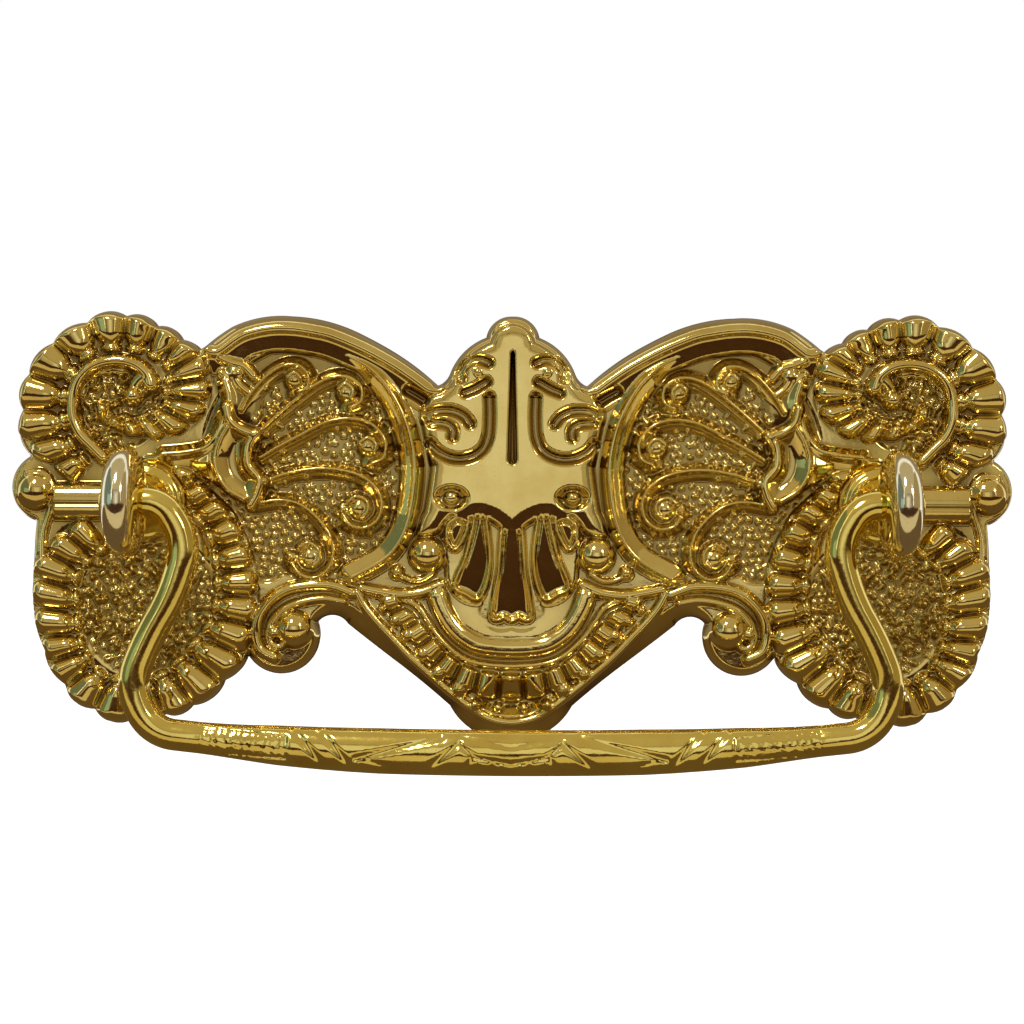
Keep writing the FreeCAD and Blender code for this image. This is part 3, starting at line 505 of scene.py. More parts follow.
def blur(field, sigma):
    # A soft average over sigma millimetres, mirrored at the middle line.
    reach = max(1, int(math.ceil(3 * sigma / cell)))
    k = np.exp(-0.5 * (np.arange(-reach, reach + 1) * cell / sigma) ** 2)
    k /= k.sum()
    wide = np.pad(field, ((reach, reach), (reach, reach)), mode="reflect")
    part = sum(k[i] * wide[:, i:i + field.shape[1]] for i in range(2 * reach + 1))
    return sum(k[i] * part[i:i + field.shape[0], :] for i in range(2 * reach + 1))


def lowest_near(field, reach_mm):
    # The lowest value within a square round each place.
    reach = int(round(reach_mm / cell))
    wide = np.pad(field, ((reach, reach), (reach, reach)), mode="reflect")
    part = wide[:, :field.shape[1]].copy()
    for i in range(1, 2 * reach + 1):
        part = np.minimum(part, wide[:, i:i + field.shape[1]])
    out = part[:field.shape[0], :].copy()
    for i in range(1, 2 * reach + 1):
        out = np.minimum(out, part[i:i + field.shape[0], :])
    return out


def from_point(x, z):
    return np.hypot(X - x, Z - z)


def in_oval(oval):
    # 0 at the middle of an oval and 1 on its line.
    x, z, half_x, half_z = oval
    return np.hypot((X - x) / half_x, (Z - z) / half_z)


def blend(target, share):
    # Moves the surface to the target by the given share.
    global height
    height = height * (1 - share) + target * share


def ridge(line, section, soft=0.12, taper=(1.0, 1.0), foot=field_h, lead=0.0):
    # The section is (sideways to the left, rise) pairs, the taper scales its ends,
    # and the lead is the share of its length over which it grows from a point.
    global height
    reach = max(abs(u) for u, rise in section) + 0.3
    dist, side, along, value = near_line(smooth_points(line), reach)
    u = dist * np.where(side == 0, 1, side)
    scale = taper[0] + (taper[1] - taper[0]) * along
    if lead > 0:
        scale = scale * np.clip(0.25 + 0.75 * along / lead, 0, 1)
    offsets, rises = zip(*section)
    outside = -9
    rise = np.interp(u / np.maximum(scale, 0.2), offsets, rises, left=outside, right=outside)
    rise = np.where(rise > outside + 1, rise * scale, outside)
    height = np.where(dist < reach, soft_max(height, foot + rise, soft), height)


def round_section(half, rise, steps=9):
    pairs = []
    for k in range(1, steps):
        a = math.pi * k / steps
        pairs.append((-half * math.cos(a), rise * math.sin(a) ** 0.8))
    return [(-half - 0.15, -0.6), (-half, 0.0)] + pairs + [(half, 0.0), (half + 0.15, -0.6)]


def groove(line, half, deep, taper=(1.0, 1.0)):
    global height
    reach = half + 0.5
    dist, side, along, value = near_line(smooth_points(line), reach)
    wide = half * (taper[0] + (taper[1] - taper[0]) * along)
    cut = deep * (1 - smooth_step((dist - wide * 0.3) / (wide * 0.8)))
    height = np.where(dist < reach, height - cut, height)


def spot(x, z, radius):
    # A window round a point, and the squared distance there, 1 at the radius.
    w = window(x - radius, x + radius, z - radius, z + radius)
    return w, ((X[w] - x) ** 2 + (Z[w] - z) ** 2) / radius ** 2


def dome(x, z, radius, top, foot=field_h - 0.3):
    w, q = spot(x, z, radius)
    h = foot + (top - foot) * np.clip(1 - q, 0, 1) ** 0.5
    height[w] = np.where(q < 1, soft_max(height[w], h, 0.1), height[w])


def finger(f, half, tip, heel, power):
    # The round form of one flute: f is the way across, 0 on its middle.
    return np.clip(1 - (f / half) ** 2 - np.clip(tip, 0, 2) ** 2 - np.clip(heel, 0, 2) ** 2, 0, 1) ** power


def along_flute(w, flute):
    # How far along a flute's line the window's places are, how far to its left,
    # and the line's length.
    xo, zo, xi, zi = flute
    length = math.hypot(xo - xi, zo - zi)
    ux, uz = (xo - xi) / length, (zo - zi) / length
    px, pz = X[w] - xi, Z[w] - zi
    return px * ux + pz * uz, pz * ux - px * uz, length


def turn_of(near, far):
    # Positive when the next flute lies to the left of this one.
    ux, uz = near[0] - near[2], near[1] - near[3]
    mx = (far[0] + far[2] - near[0] - near[2]) / 2
    mz = (far[1] + far[3] - near[1] - near[3]) / 2
    return ux * mz - uz * mx


def fan(flutes, crest, valley, knuckle_drop, half_open=0.55, split=0.2):
    # Flutes side by side like fingers, each with a round tip and, past the split,
    # a smaller, lower knuckle at its inner end.
    margin = 2.2
    for i in range(-1, len(flutes)):
        near = flutes[max(i, 0)]
        far = flutes[min(i + 1, len(flutes) - 1)]
        xs = [near[0], near[2], far[0], far[2]]
        zs = [near[1], near[3], far[1], far[3]]
        w = window(min(xs) - margin, max(xs) + margin, min(zs) - margin, max(zs) + margin)
        s0, u0, length = along_flute(w, near)
        if 0 <= i < len(flutes) - 1:
            s1, u1, far_length = along_flute(w, far)
            side = 1 if turn_of(near, far) > 0 else -1
            d0, d1 = u0 * side, -u1 * side
            inside = (d0 >= 0) & (d1 > 0)
            f = d0 / np.maximum(d0 + d1, 1e-6)
            t = s0 / length * (1 - f) + s1 / far_length * f
        else:
            # The open side of the first and the last flute.
            other = flutes[1] if i < 0 else flutes[-2]
            side = -1 if turn_of(near, other) > 0 else 1
            reach = math.hypot(near[0] - other[0], near[1] - other[1]) * half_open
            inner_reach = math.hypot(near[2] - other[2], near[3] - other[3]) * half_open
            t = s0 / length
            wide = inner_reach + (reach - inner_reach) * np.clip(t, 0, 1)
            f = u0 * side / np.maximum(wide, 0.1) * 0.5
            inside = (f >= 0) & (f < 0.5)
        f = np.where(f > 0.5, 1 - f, f)
        form = finger(f, finger_half, (t - tip_from) / tip_run, (split + 0.26 - t) / heel_run, 0.7)
        h = valley + (crest - valley) * form
        if split > 0:
            form = finger(f, finger_half - 0.05, (t - split + 0.1) / 0.1, (0.08 - t) / 0.1, 0.6)
            h = np.maximum(h, valley - 0.1 + (crest - knuckle_drop - valley) * form)
        start = smooth_step((t + 0.06) / 0.12)
        h = height[w] * (1 - start) + h * start
        height[w] = np.where(inside & (t > -0.06) & (t < 1.02), h, height[w])


edge = [(x * edge_growth, edge_growth_z0 + (z - edge_growth_z0) * edge_growth, w)
        for x, z, w in left_edge]
edge_line = arc_points(edge, edge_step)
edge_xz = [(x, z) for x, z, w in edge_line]


def draw_flange():
    # The flange slopes up from the outline, round along the lobes and straight along the V.
    global height, edge_distance, edge_limit
    dist, side, along, width = near_line(edge_line, edge_reach, [p[2] for p in edge_line])
    inner = inside_loop(mirrored_loop(edge_xz))
    edge_distance = np.where(inner, np.minimum(dist, edge_reach), -np.minimum(dist, edge_reach))
    t = np.clip(edge_distance / np.maximum(width, 0.3), 0, 1)
    vee = smooth_step((width - 1.0) / 0.9)
    share = np.sin(t * math.pi / 2) ** 0.85 * (1 - vee) + t ** 0.9 * vee
    height = edge_h + (field_h - edge_h) * np.where(inner & (dist >= edge_reach), 1.0, share)
    # A round shoulder that keeps the flutes' ends below it near the edge.
    fall = np.clip(edge_distance / shoulder_width, 0, 1)
    edge_limit = edge_h + shoulder_rise * np.sqrt(np.clip(1 - (1 - fall) ** 2, 0, 1))


def draw_medallion():
    # The sunk ground, with one corner past the oval, then the arch and the ring.
    blend(medallion_ground_h, smooth_step((1 - in_oval(medallion_oval)) / 0.03))
    x, z, radius = ground_corner
    share = smooth_step((radius - from_point(x, z)) / 0.4)
    blend(np.minimum(height, stippled_ground_h), share)
    ridge(arch_line, arch_section, 0.05)
    ridge(ring_line, ring_section, 0.06, lead=0.15)


def draw_leaf():
    # A smooth wing that rises to a crest, and a hollow lens inside it.
    d = signed_loop(arc_points(leaf_loop, 0.3), 3.0)
    wing = leaf_h - 0.75 + 0.75 * np.clip(d / 2.4, 0, 1) ** 0.8
    wing -= 0.14 * np.clip(wing_falls_from - X, 0, 6)
    blend(wing, smooth_step(d / 0.5 + 0.5))
    lens = leaf_crease + leaf_back
    d = signed_loop(smooth_points(lens + lens[:1], 0.25)[:-1], 3.0)
    sunk = leaf_h + 0.05 - 0.75 * smooth_step(np.clip(d, 0, 1.6) / 1.6)
    blend(sunk, smooth_step(d / 0.3 + 0.5))
    ridge(leaf_crease, round_section(0.3, 0.4), 0.15, foot=leaf_h - 0.15)
    for line in leaf_ridges:
        ridge(line, round_section(0.5, 0.55), 0.15, foot=leaf_h - 0.2)
    ridge(wing_edge, wing_section, foot=2.3)
    for line in bud_lines:
        ridge(line, round_section(0.55, 0.8), 0.15, foot=2.1)


def draw_tendrils():
    # Each scroll ends in a round volute with a curl on it.
    for line in tendril_lines:
        ridge(line, tendril_section, 0.06, taper=(0.7, 1.0), foot=2.0)
    for x, z, radius in volutes:
        dome(x, z, radius, 3.3, 1.9)
    for line in curls:
        ridge(line, round_section(0.26, 0.45), 0.1, foot=3.0)


def draw_ears():
    global height
    for oval in (ear_oval, shell_oval):
        blend(stippled_ground_h, smooth_step((1 - in_oval(oval)) / 0.15))
    for flutes in (low_flutes, ear_flutes):
        fan(flutes, flute_crest_h, flute_valley_h, 0.3)
    height = np.where(edge_distance < shoulder_width, np.minimum(height, edge_limit), height)
    ridge(ear_ring, round_section(0.75, 1.35), 0.1, foot=2.15)
    ridge(ear_comma, round_section(1.05, 1.3), 0.15, (1.0, 0.55), foot=2.1)
    ridge(ear_crescent, round_section(0.45, 0.5), 0.1, foot=2.0)


def draw_side_bar():
    # The bar from the end dome to the post, with a line scored along it.
    w = window(side_bar_end, side_bar_end + 11.9, -2.3, 2.5)
    u = np.abs(Z[w] - side_bar_z) / side_bar_half
    start = smooth_step((X[w] - side_bar_end) / 0.5)
    h = 1.9 + (side_bar_h - 1.9) * np.clip(1 - u ** 2, 0, 1) ** 0.5 * start
    h -= 0.3 * np.exp(-(((Z[w] + 0.25) / 0.14) ** 2))
    height[w] = np.where(u < 1, soft_max(height[w], h, 0.1), height[w])
    ridge(side_rim, round_section(0.35, 0.5), 0.1, foot=2.2)


def draw_shield():
    # A shield with a soft edge above, and below a lip that leans down to a wall.
    inside = signed_loop(mirrored_loop(arc_points(shield_loop, 0.3)), 4.0)
    near_middle = smooth_step((6.5 + X) / 2.0)
    lower = smooth_step((1.5 - Z) / 2.0) * near_middle
    level = smooth_step((3.0 - Z) / 1.5) * near_middle
    puff = np.maximum(1 - (1 - np.clip(inside / 1.6, 0, 1)) ** 2, level)
    lip = 0.16 * lower * np.clip(0.1 - inside, 0, 1.6)
    edge_softness = 0.5
    share = smooth_step((inside + 1.3 * lower) / edge_softness + 0.5)
    blend(shield_h - 0.15 + 0.25 * puff - lip, share)
    for line in shield_grooves:
        groove(line, 0.66, 0.85)
    groove(slot_line, 0.5, 1.25, (0.35, 1.0))
    dome(-3.6, 13.6, 0.55, 3.55, 2.9)
    x, z = dimple
    q = np.hypot((X - x) / 2.0, (Z - z) / 1.4)
    blend(height - 0.75, 1 - smooth_step((q - 0.5) / 0.5))
    dome(x, z, 0.85, 3.2, 2.3)


def draw_palmette():
    # Hollow petals with thin rims. Their floors fall from the shield's lip, so they look dark.
    global height
    loop = mirrored_loop(arc_points(palmette_loop, 0.3))
    blend(palmette_h, smooth_step(signed_loop(loop, 1.5) / 0.5 + 0.5))
    for top_z, petal in petals:
        d = signed_loop(smooth_points(petal, 0.2)[:-1], 1.5)
        rim = soft_max(height, 2.2 + 0.95 * np.exp(-((d + 0.12) / 0.3) ** 2), 0.1)
        height = np.where(d > -0.8, rim, height)
        blend(petal_top_h + petal_fall * (Z - top_z), smooth_step((d - 0.12) / 0.35))


def draw_bowl():
    # The bowl's floor rises to its band, so it catches the light from above.
    global height
    within = smooth_step((1 - in_oval(bowl_oval)) / 0.08)
    height = height + within * np.clip(bowl_rises_from - Z, 0, 5) * bowl_rise
    ridge(bowl_band, bowl_section, 0.06, foot=2.2)
    ridge(bowl_lip, round_section(0.6, 0.9), 0.1, foot=2.1)
    ridge(web_tail, round_section(0.3, 0.45), 0.1, foot=2.3)
    ridge(vee_inner, round_section(0.35, 0.55), 0.1, foot=2.2)


def draw_vee():
    ridge(vee_rim, round_section(0.5, 0.7), 0.1, foot=2.15)
    fan(vee_flutes, 3.1, 2.0, 0.0, split=-0.5)
    for x, z, radius in vee_beads:
        dome(x, z, radius, 3.1, 1.9)


def draw_scroll():
    ridge(scroll_line, round_section(0.62, 0.95), 0.1, foot=2.15)
    ridge(scroll_inner, round_section(0.45, 0.7), 0.1, foot=2.15)


def draw_beads():
    # Small punched beads, unevenly spread over the low ground between the raised
    # forms. Gives the stippled ground, and the share of it left bare, which the
    # plate's material dulls and darkens as painted shade.
    mask = np.zeros(X.shape, bool)
    for oval in bead_ovals:
        mask |= in_oval(oval) < 1
    mask &= height < bead_ground_h
    room = blur(mask.astype(float), 0.2)
    rng = random.Random(7)
    placed = []
    for row in range(int(46 / bead_spacing)):
        for col in range(int(53 / bead_spacing)):
            x = -53 + (col + 0.5 * (row % 2)) * bead_spacing + rng.uniform(-0.24, 0.24)
            z = -25.5 + row * bead_spacing * 0.87 + rng.uniform(-0.24, 0.24)
            radius = rng.uniform(0.26, 0.36)
            rise = rng.uniform(0.2, 0.3)
            c = int(round((x - grid_x[0]) / cell))
            r = int(round((z - grid_z[0]) / cell))
            if 0 <= c < columns and 0 <= r < rows and room[r, c] > 0.72:
                placed.append((x, z, radius, rise))
    bare = mask.astype(float)
    for x, z, radius, rise in placed:
        w, q = spot(x, z, radius)
        height[w] += rise * np.clip(1 - q, 0, 1) ** 0.7
        bare[w] = np.where(q < 0.75, 0.0, bare[w])
    return mask, blur(bare, 0.06)


def draw_pebbles(mask):
    # Uneven pebbling in the two shells, coarser than the beads.
    rng = random.Random(11)
    for cx, cz, rx, rz, count in pebble_fields:
        for k in range(count):
            a = rng.uniform(0, 2 * math.pi)
            s = math.sqrt(rng.uniform(0, 1))
            w, q = spot(cx + rx * s * math.cos(a), cz + rz * s * math.sin(a), rng.uniform(0.3, 0.6))
            height[w] += rng.uniform(0.15, 0.5) * np.clip(1 - q, 0, 1) ** 0.8 * mask[w]


def draw_seat():
    # The flat that the post's flange sits on.
    q = from_point(-half_centres, 0)
    blend(np.minimum(height, field_h), 1 - smooth_step((q - seat_r) / 0.35 + 0.5))
    blend(field_h, 1 - smooth_step((q - seat_r + 0.2) / 0.3))


def sink_where_bail_rests():
    # Lower relief at the places that the bail comes down on at its two limits.
    global height
    for x, z, inner, outer, share in bail_rests:
        near = smooth_step((outer - np.hypot(np.abs(X) - x, Z - z)) / (outer - inner))
        height = height * (1 - share * near)


draw_flange()
draw_medallion()
draw_ears()
draw_leaf()
draw_tendrils()
draw_scroll()
draw_vee()
draw_bowl()
draw_palmette()
draw_shield()
for x, z, radius, top in domes:
    dome(x, z, radius, top)
stippled, dull_shaded_ground = draw_beads()
draw_pebbles(stippled)
draw_side_bar()
draw_seat()
sink_where_bail_rests()
height = np.clip(blur(height, 0.07), lowest_h, highest_h)
slope_z, slope_x = np.gradient(height, cell)
back_height = np.clip(blur(lowest_near(height, 0.5), 0.45) - sheet, 0, None)
back_height *= smooth_step((edge_distance - 0.35) / 0.5)
back_slope_z, back_slope_x = np.gradient(back_height, cell)
# Painted shade: how far each place sits below its surroundings, which darkens the colour of the hollows.
hollow_shade = np.clip((blur(height, 0.9) - height) / 0.8, -1, 1)


def sample(field, x, z):
    # The field's value between the grid's places.
    c = np.clip((x - grid_x[0]) / cell, 0, columns - 1.001)
    r = np.clip((z - grid_z[0]) / cell, 0, rows - 1.001)
    c0, r0 = c.astype(int), r.astype(int)
    fc, fr = c - c0, r - r0
    top = field[r0, c0] * (1 - fc) + field[r0, c0 + 1] * fc
    low = field[r0 + 1, c0] * (1 - fc) + field[r0 + 1, c0 + 1] * fc
    return top * (1 - fr) + low * fr


def circle(radius, count):
    turns = (2 * math.pi * k / count for k in range(count))
    return [(radius * math.cos(a), radius * math.sin(a)) for a in turns]


def triangulate(busy_mask, fine, coarse):
    # Triangles over the left half: rim and hole points with a grid between them,
    # which is fine only where the mask says that the relief is busy.
    boundary = [tuple(map(float, p)) for p in edge_xz]
    foot, span = boundary[-1][1], boundary[0][1] - boundary[-1][1]
    spine_count = int(span / coarse)
    spine = [(0.0, foot + span * k / spine_count) for k in range(1, spine_count)]
    loop = boundary + spine
    hole_step = edge_step * 1.4
    hole = [(x - half_centres, z)
            for x, z in circle(plate_hole_r, int(2 * math.pi * plate_hole_r / hole_step))]
    points = loop + hole
    n, m = len(loop), len(hole)
    links = [(i, (i + 1) % n) for i in range(n)]
    links += [(n + i, n + (i + 1) % m) for i in range(m)]
    for step, wanted in ((fine, True), (coarse, False)):
        if wanted and busy_mask is None:
            continue
        xs = np.arange(grid_x[0], -step * 0.5, step)
        zs = np.arange(grid_z[0], grid_z[-1], step)
        gx, gz = np.meshgrid(xs, zs)
        gx = gx + np.where(np.arange(len(zs)) % 2 == 1, step / 2, 0)[:, None]
        gx, gz = gx.ravel(), gz.ravel()
        from_hole = np.hypot(gx + half_centres, gz) - plate_hole_r
        keep = (sample(edge_distance, gx, gz) > step * 0.55) & (gx < -step * 0.4)
        keep &= (np.abs(from_hole) > step * 0.5) & (from_hole > 0)
        if busy_mask is not None:
            busy = sample(busy_mask, gx, gz) > 0.5
            keep &= busy if wanted else ~busy
        points += list(zip(gx[keep].tolist(), gz[keep].tolist()))
    made = delaunay_2d_cdt([Vector(p) for p in points], links, [], 1, 1e-7)
    v = np.array([(p.x, p.y) for p in made[0]])
    f = np.array(made[2])
    centre = v[f].mean(axis=1)
    f = f[np.hypot(centre[:, 0] + half_centres, centre[:, 1]) >= plate_hole_r * 0.98]
    first = {}
    for i, origins in enumerate(made[3]):
        for o in origins:
            first[o] = i
    rim = [first[i] for i in range(len(boundary))]
    ring = [first[n + i] for i in range(m)]
    return v, f, rim, ring


def build_mesh(name, verts, faces, loop_normals=None):
    mesh = bpy.data.meshes.new(name)
    mesh.from_pydata([tuple(p) for p in verts], [], [tuple(f) for f in faces])
    mesh.polygons.foreach_set("use_smooth", [True] * len(mesh.polygons))
    mesh.update()
    if loop_normals is not None:
        mesh.normals_split_custom_set(loop_normals)
    obj = bpy.data.objects.new(name, mesh)
    bpy.context.scene.collection.objects.link(obj)
    return obj


def paint(obj, label, values):
    # A number for each vertex, which the materials read.
    layer = obj.data.attributes.new(label, "FLOAT", "POINT")
    layer.data.foreach_set("value", np.asarray(values, np.float32))


def half_surface(side, v, f, field, slope_a, slope_b, front):
    # One skin of one half of the plate: corners, triangles and smooth normals.
    h = sample(field, v[:, 0], v[:, 1])
    corners = np.column_stack([v[:, 0] * -side, -h, v[:, 1]]) * MM
    sx = sample(slope_a, v[:, 0], v[:, 1]) * -side
    sz = sample(slope_b, v[:, 0], v[:, 1])
    normal = np.column_stack([-sx, -np.ones(len(v)), -sz])
    normal /= np.linalg.norm(normal, axis=1)[:, None]
    flip = (side > 0) == front
    return corners, f[:, ::-1] if flip else f, normal if front else -normal


def rim_walls(verts, upper, lower, shift, hole_x):
    # The sheet's edge, from the front skin to the back skin. Hole_x is 0 for the rim.
    faces, loops = [], []
    for i in range(len(upper) - (0 if hole_x else 1)):
        j = (i + 1) % len(upper)
        quad = (upper[i], upper[j], lower[j] + shift, lower[i] + shift)
        p, q = verts[quad[0]], verts[quad[1]]
        wall = np.array([q[2] - p[2], 0.0, -(q[0] - p[0])])
        wall /= max(np.linalg.norm(wall), 1e-12)
        middle = (p + q) / 2
        if hole_x:
            toward = np.array([hole_x - middle[0], 0.0, -middle[2]])
            good = wall @ toward > 0
        else:
            tried = (middle + wall * 2e-4) / MM
            good = sample(edge_distance, np.array([-abs(tried[0])]), np.array([tried[2]]))[0] < 0
        if not good:
            wall = -wall
        if np.cross(verts[quad[1]] - p, verts[quad[3]] - p) @ wall < 0:
            quad = quad[::-1]
        faces.append(quad)
        loops += [wall] * 4
    return faces, loops


def make_plate_half(side, name, front_skin, back_skin):
    (v, f, rim, ring), (bv, bf, brim, bring) = front_skin, back_skin
    front, ff, normal = half_surface(side, v, f, height, slope_x, slope_z, True)
    back, bff, back_normal = half_surface(side, bv, bf, back_height, back_slope_x, back_slope_z, False)
    verts = np.vstack([front, back])
    normals = np.vstack([normal, back_normal])
    faces = ff.tolist() + (bff + len(v)).tolist()
    loops = [normals[i] for t in faces for i in t]
    for upper, lower, hole_x in ((rim, brim, 0.0), (ring, bring, side * half_centres * MM)):
        more, wall_loops = rim_walls(verts, upper, lower, len(v), hole_x)
        faces += more
        loops += wall_loops
    obj = build_mesh(name, verts, faces, loops)
    # The back was never burnished, so it is dull and darker like the punched ground, whose darker colour on the
    # front is painted shade.
    for label, field, behind in (("painted_hollow_shade", hollow_shade, 0.0), ("ground", dull_shaded_ground, 0.9)):
        paint(obj, label, np.concatenate([sample(field, v[:, 0], v[:, 1]), np.full(len(bv), behind)]))
    return obj


def plate_skins():
    # The front's triangles are fine where the relief bends, the back's are coarse.
    detail = np.abs(blur(height, 0.3) - height) > 0.045
    busy = (blur(detail.astype(float), 0.25) > 0.25).astype(float)
    return triangulate(busy, fine_step, plain_step), triangulate(None, None, back_step)


def tube_faces(rings, around, turned=False):
    # Four-sided faces between rings of vertices that follow each other.
    faces = []
    for i in range(rings - 1):
        for k in range(around):
            j = (k + 1) % around
            quad = (i * around + k, i * around + j, (i + 1) * around + j, (i + 1) * around + k)
            faces.append(quad[::-1] if turned else quad)
    return faces


def spin(profile, count, centre, axis):
    # A surface of revolution: profile is (radius, distance along the axis).
    verts = []
    for radius, along in profile:
        for c, s in circle(radius, count):
            step = (along, c, s) if axis == "x" else (c, along, s)
            verts.append(tuple(a + b for a, b in zip(centre, step)))
    return verts, tube_faces(len(profile), count, axis != "x")


def joined(name, parts):
    # One object from parts in millimetres.
    verts, faces = [], []
    for v, f in parts:
        faces += [tuple(i + len(verts) for i in face) for face in f]
        verts += [(x * MM, y * MM, z * MM) for x, y, z in v]
    return build_mesh(name, verts, faces)


def melted(parts, voxel=0.13, smoothing=3):
    # Melts overlapping pieces of one casting into a single skin.
    obj = joined("melting", parts)
    remesh = obj.modifiers.new("melt", "REMESH")
    remesh.mode = "VOXEL"
    remesh.voxel_size = voxel * MM
    remesh.use_smooth_shade = True
    smooth = obj.modifiers.new("soften", "SMOOTH")
    smooth.factor = 0.5
    smooth.iterations = smoothing
    graph = bpy.context.evaluated_depsgraph_get()
    mesh = bpy.data.meshes.new_from_object(obj.evaluated_get(graph))
    verts = [tuple(c / MM for c in v.co) for v in mesh.vertices]
    faces = [tuple(p.vertices) for p in mesh.polygons]
    bpy.data.objects.remove(obj)
    return verts, faces


def eye_casting(x):
    # Flange, flared neck and ring, before they are melted together.
    low = field_h + flange_t
    corner = 0.12
    neck_drop = 0.6
    neck_in = 0.25
    profile = [(0.0, field_h), (flange_r, field_h), (flange_r, low - flange_chamfer),
               (flange_r - corner, low - corner), (flange_r - flange_chamfer, low),
               (neck_r_low + 0.5, low), (neck_r_low + 0.15, low + corner),
               (neck_r_low - neck_in, low + neck_drop)]
    steps = 10
    for k in range(1, steps + 1):
        t = k / steps
        r = neck_r_low - neck_in + (neck_r_high - neck_r_low + neck_in) * (1 - (1 - t) ** 1.35)
        profile.append((r, low + neck_drop + (neck_waist_h - low - neck_drop) * t))
    profile += [(neck_r_high, neck_top_h), (0.0, neck_top_h)]
    base = spin([(r, -h) for r, h in profile], 64, (x, 0, 0), "y")
    # The ring is a flattened ball with a hole across it, fuller on its outer side.
    outer = []
    for k in range(25):
        r = eye_r * math.cos(math.radians(2.7 * k))
        if r > eye_hole_r + 0.35:
            outer.append((r, (1 - (r / eye_r) ** 5) ** 0.5))
    low, high = eye_half_t, eye_half_t + eye_swell
    if x < 0:
        low, high = high, low
    inset = 1 - 0.25 / eye_half_t
    ring = [(eye_hole_r, -low * inset)]
    ring += [(r, -half * low) for r, half in reversed(outer)]
    ring += [(r, half * high) for r, half in outer[1:]]
    ring += [(eye_hole_r, high * inset), (eye_hole_r, -low * inset)]
    return [base, spin(ring, 96, (x, -eye_h, 0), "x")]


def shank_parts(x):
    # The plain shank with its shoulder, and the threaded end.
    start = -field_h + 0.02
    step = 0.15
    tip = shank_plain + 0.2
    plain = [(0.0, start), (spigot_r, start), (spigot_r, -step), (spigot_r - step, 0.0), (shank_r, 0.0),
             (shank_r, shank_plain), (shank_r - 0.25, tip), (0.0, tip)]
    around, per_turn = 40, 10
    length = shank_length - shank_plain
    levels = int(length / thread_pitch * per_turn)
    verts = []
    for i in range(levels + 1):
        y = shank_plain + length * i / levels
        ends = max(0.0, min(1.0, (y - shank_plain) / 0.5, (shank_length - y) / 0.5))
        for k in range(around):
            a = 2 * math.pi * k / around
            phase = ((y - shank_plain) / thread_pitch - k / around) % 1.0
            crest = 1 - abs(phase * 2 - 1)
            r = thread_r - thread_depth * (1 - min(1.0, crest * 1.25))
            r = min(r, thread_r - 0.5 + 0.5 * ends)
            verts.append((x + r * math.cos(a), y, r * math.sin(a)))
    faces = tube_faces(levels + 1, around, True)
    faces.append(tuple(range(around)))
    faces.append(tuple(levels * around + k for k in reversed(range(around))))
    return [spin(plain, 48, (x, 0, 0), "y"), (verts, faces)]


def make_post(name, x):
    obj = joined(name, [melted(eye_casting(x))] + shank_parts(x))
    obj.data.set_sharp_from_angle(angle=math.radians(40))
    # A pale colour painted on the eye's forward face: a painted highlight standing in for the bright reflection
    # there.
    painted_eye_highlight = []
    for v in obj.data.vertices:
        h = -v.co.y / MM
        off = math.hypot(h - eye_h, v.co.z / MM)
        facing = max(0.0, min(1.0, (h - eye_h - 0.25 * off) / 2.0))
        painted_eye_highlight.append(0.85 * facing * max(0.0, min(1.0, off - 3.0)))
    paint(obj, "painted_eye_highlight", painted_eye_highlight)
    return obj


def make_nut(name, x):
    # A hexagon nut with its rear corners turned off and a plain bore.
    around = 96
    front, rear = drawer_front_t, drawer_front_t + nut_t
    flat = nut_flats / 2
    angles = [2 * math.pi * k / around for k in range(around)]
    sixth = math.pi / 3
    hexagon = [flat / math.cos((a + sixth / 2) % sixth - sixth / 2) for a in angles]
    rings = [[(thread_r, front)] * around, [(flat - 0.3, front)] * around,
             [(r, front) for r in hexagon], [(r, rear - max(0.0, r - flat)) for r in hexagon],
             [(flat - 0.05, rear)] * around, [(thread_r, rear)] * around, [(thread_r, front)] * around]
    verts = [(x + r * math.cos(a), y, r * math.sin(a)) for ring in rings[:-1] for a, (r, y) in zip(angles, ring)]
    faces = [tuple(i % len(verts) for i in quad) for quad in tube_faces(len(rings), around, True)]
    obj = joined(name, [(verts, faces)])
    obj.data.set_sharp_from_angle(angle=math.radians(30))
    return obj


def rounded_corners(points, step):
    # A line with its corners rounded as widely as its sides allow.
    out = [np.array(points[0], float)]
    last = len(points) - 2
    for i in range(1, last + 1):
        a, p, b = (np.array(points[k], float) for k in (i - 1, i, i + 1))
        la, lb = np.linalg.norm(a - p), np.linalg.norm(b - p)
        u, v = (a - p) / la, (b - p) / lb
        turn = math.acos(max(-1.0, min(1.0, -(u @ v))))
        if turn < 0.02:
            continue
        reach = min(la * (0.96 if i == 1 else 0.48), lb * (0.96 if i == last else 0.48))
        t1 = p + u * reach
        radius = reach / math.tan(turn / 2)
        centre = p + (u + v) / np.linalg.norm(u + v) * (radius / math.cos(turn / 2))
        for k in range(int(np.linalg.norm(t1 - out[-1]) / step)):
            out.append(out[-1] + (t1 - out[-1]) * (step / max(np.linalg.norm(t1 - out[-1]), 1e-9)))
        s = t1 - centre
        count = max(3, int(radius * turn / step))
        sign = 1 if (u[0] * v[1] - u[1] * v[0]) < 0 else -1
        for k in range(count + 1):
            q = sign * turn * k / count
            out.append(centre + np.array([s[0] * math.cos(q) - s[1] * math.sin(q),
                                          s[0] * math.sin(q) + s[1] * math.cos(q)]))
    out.append(np.array(points[-1], float))
    return out


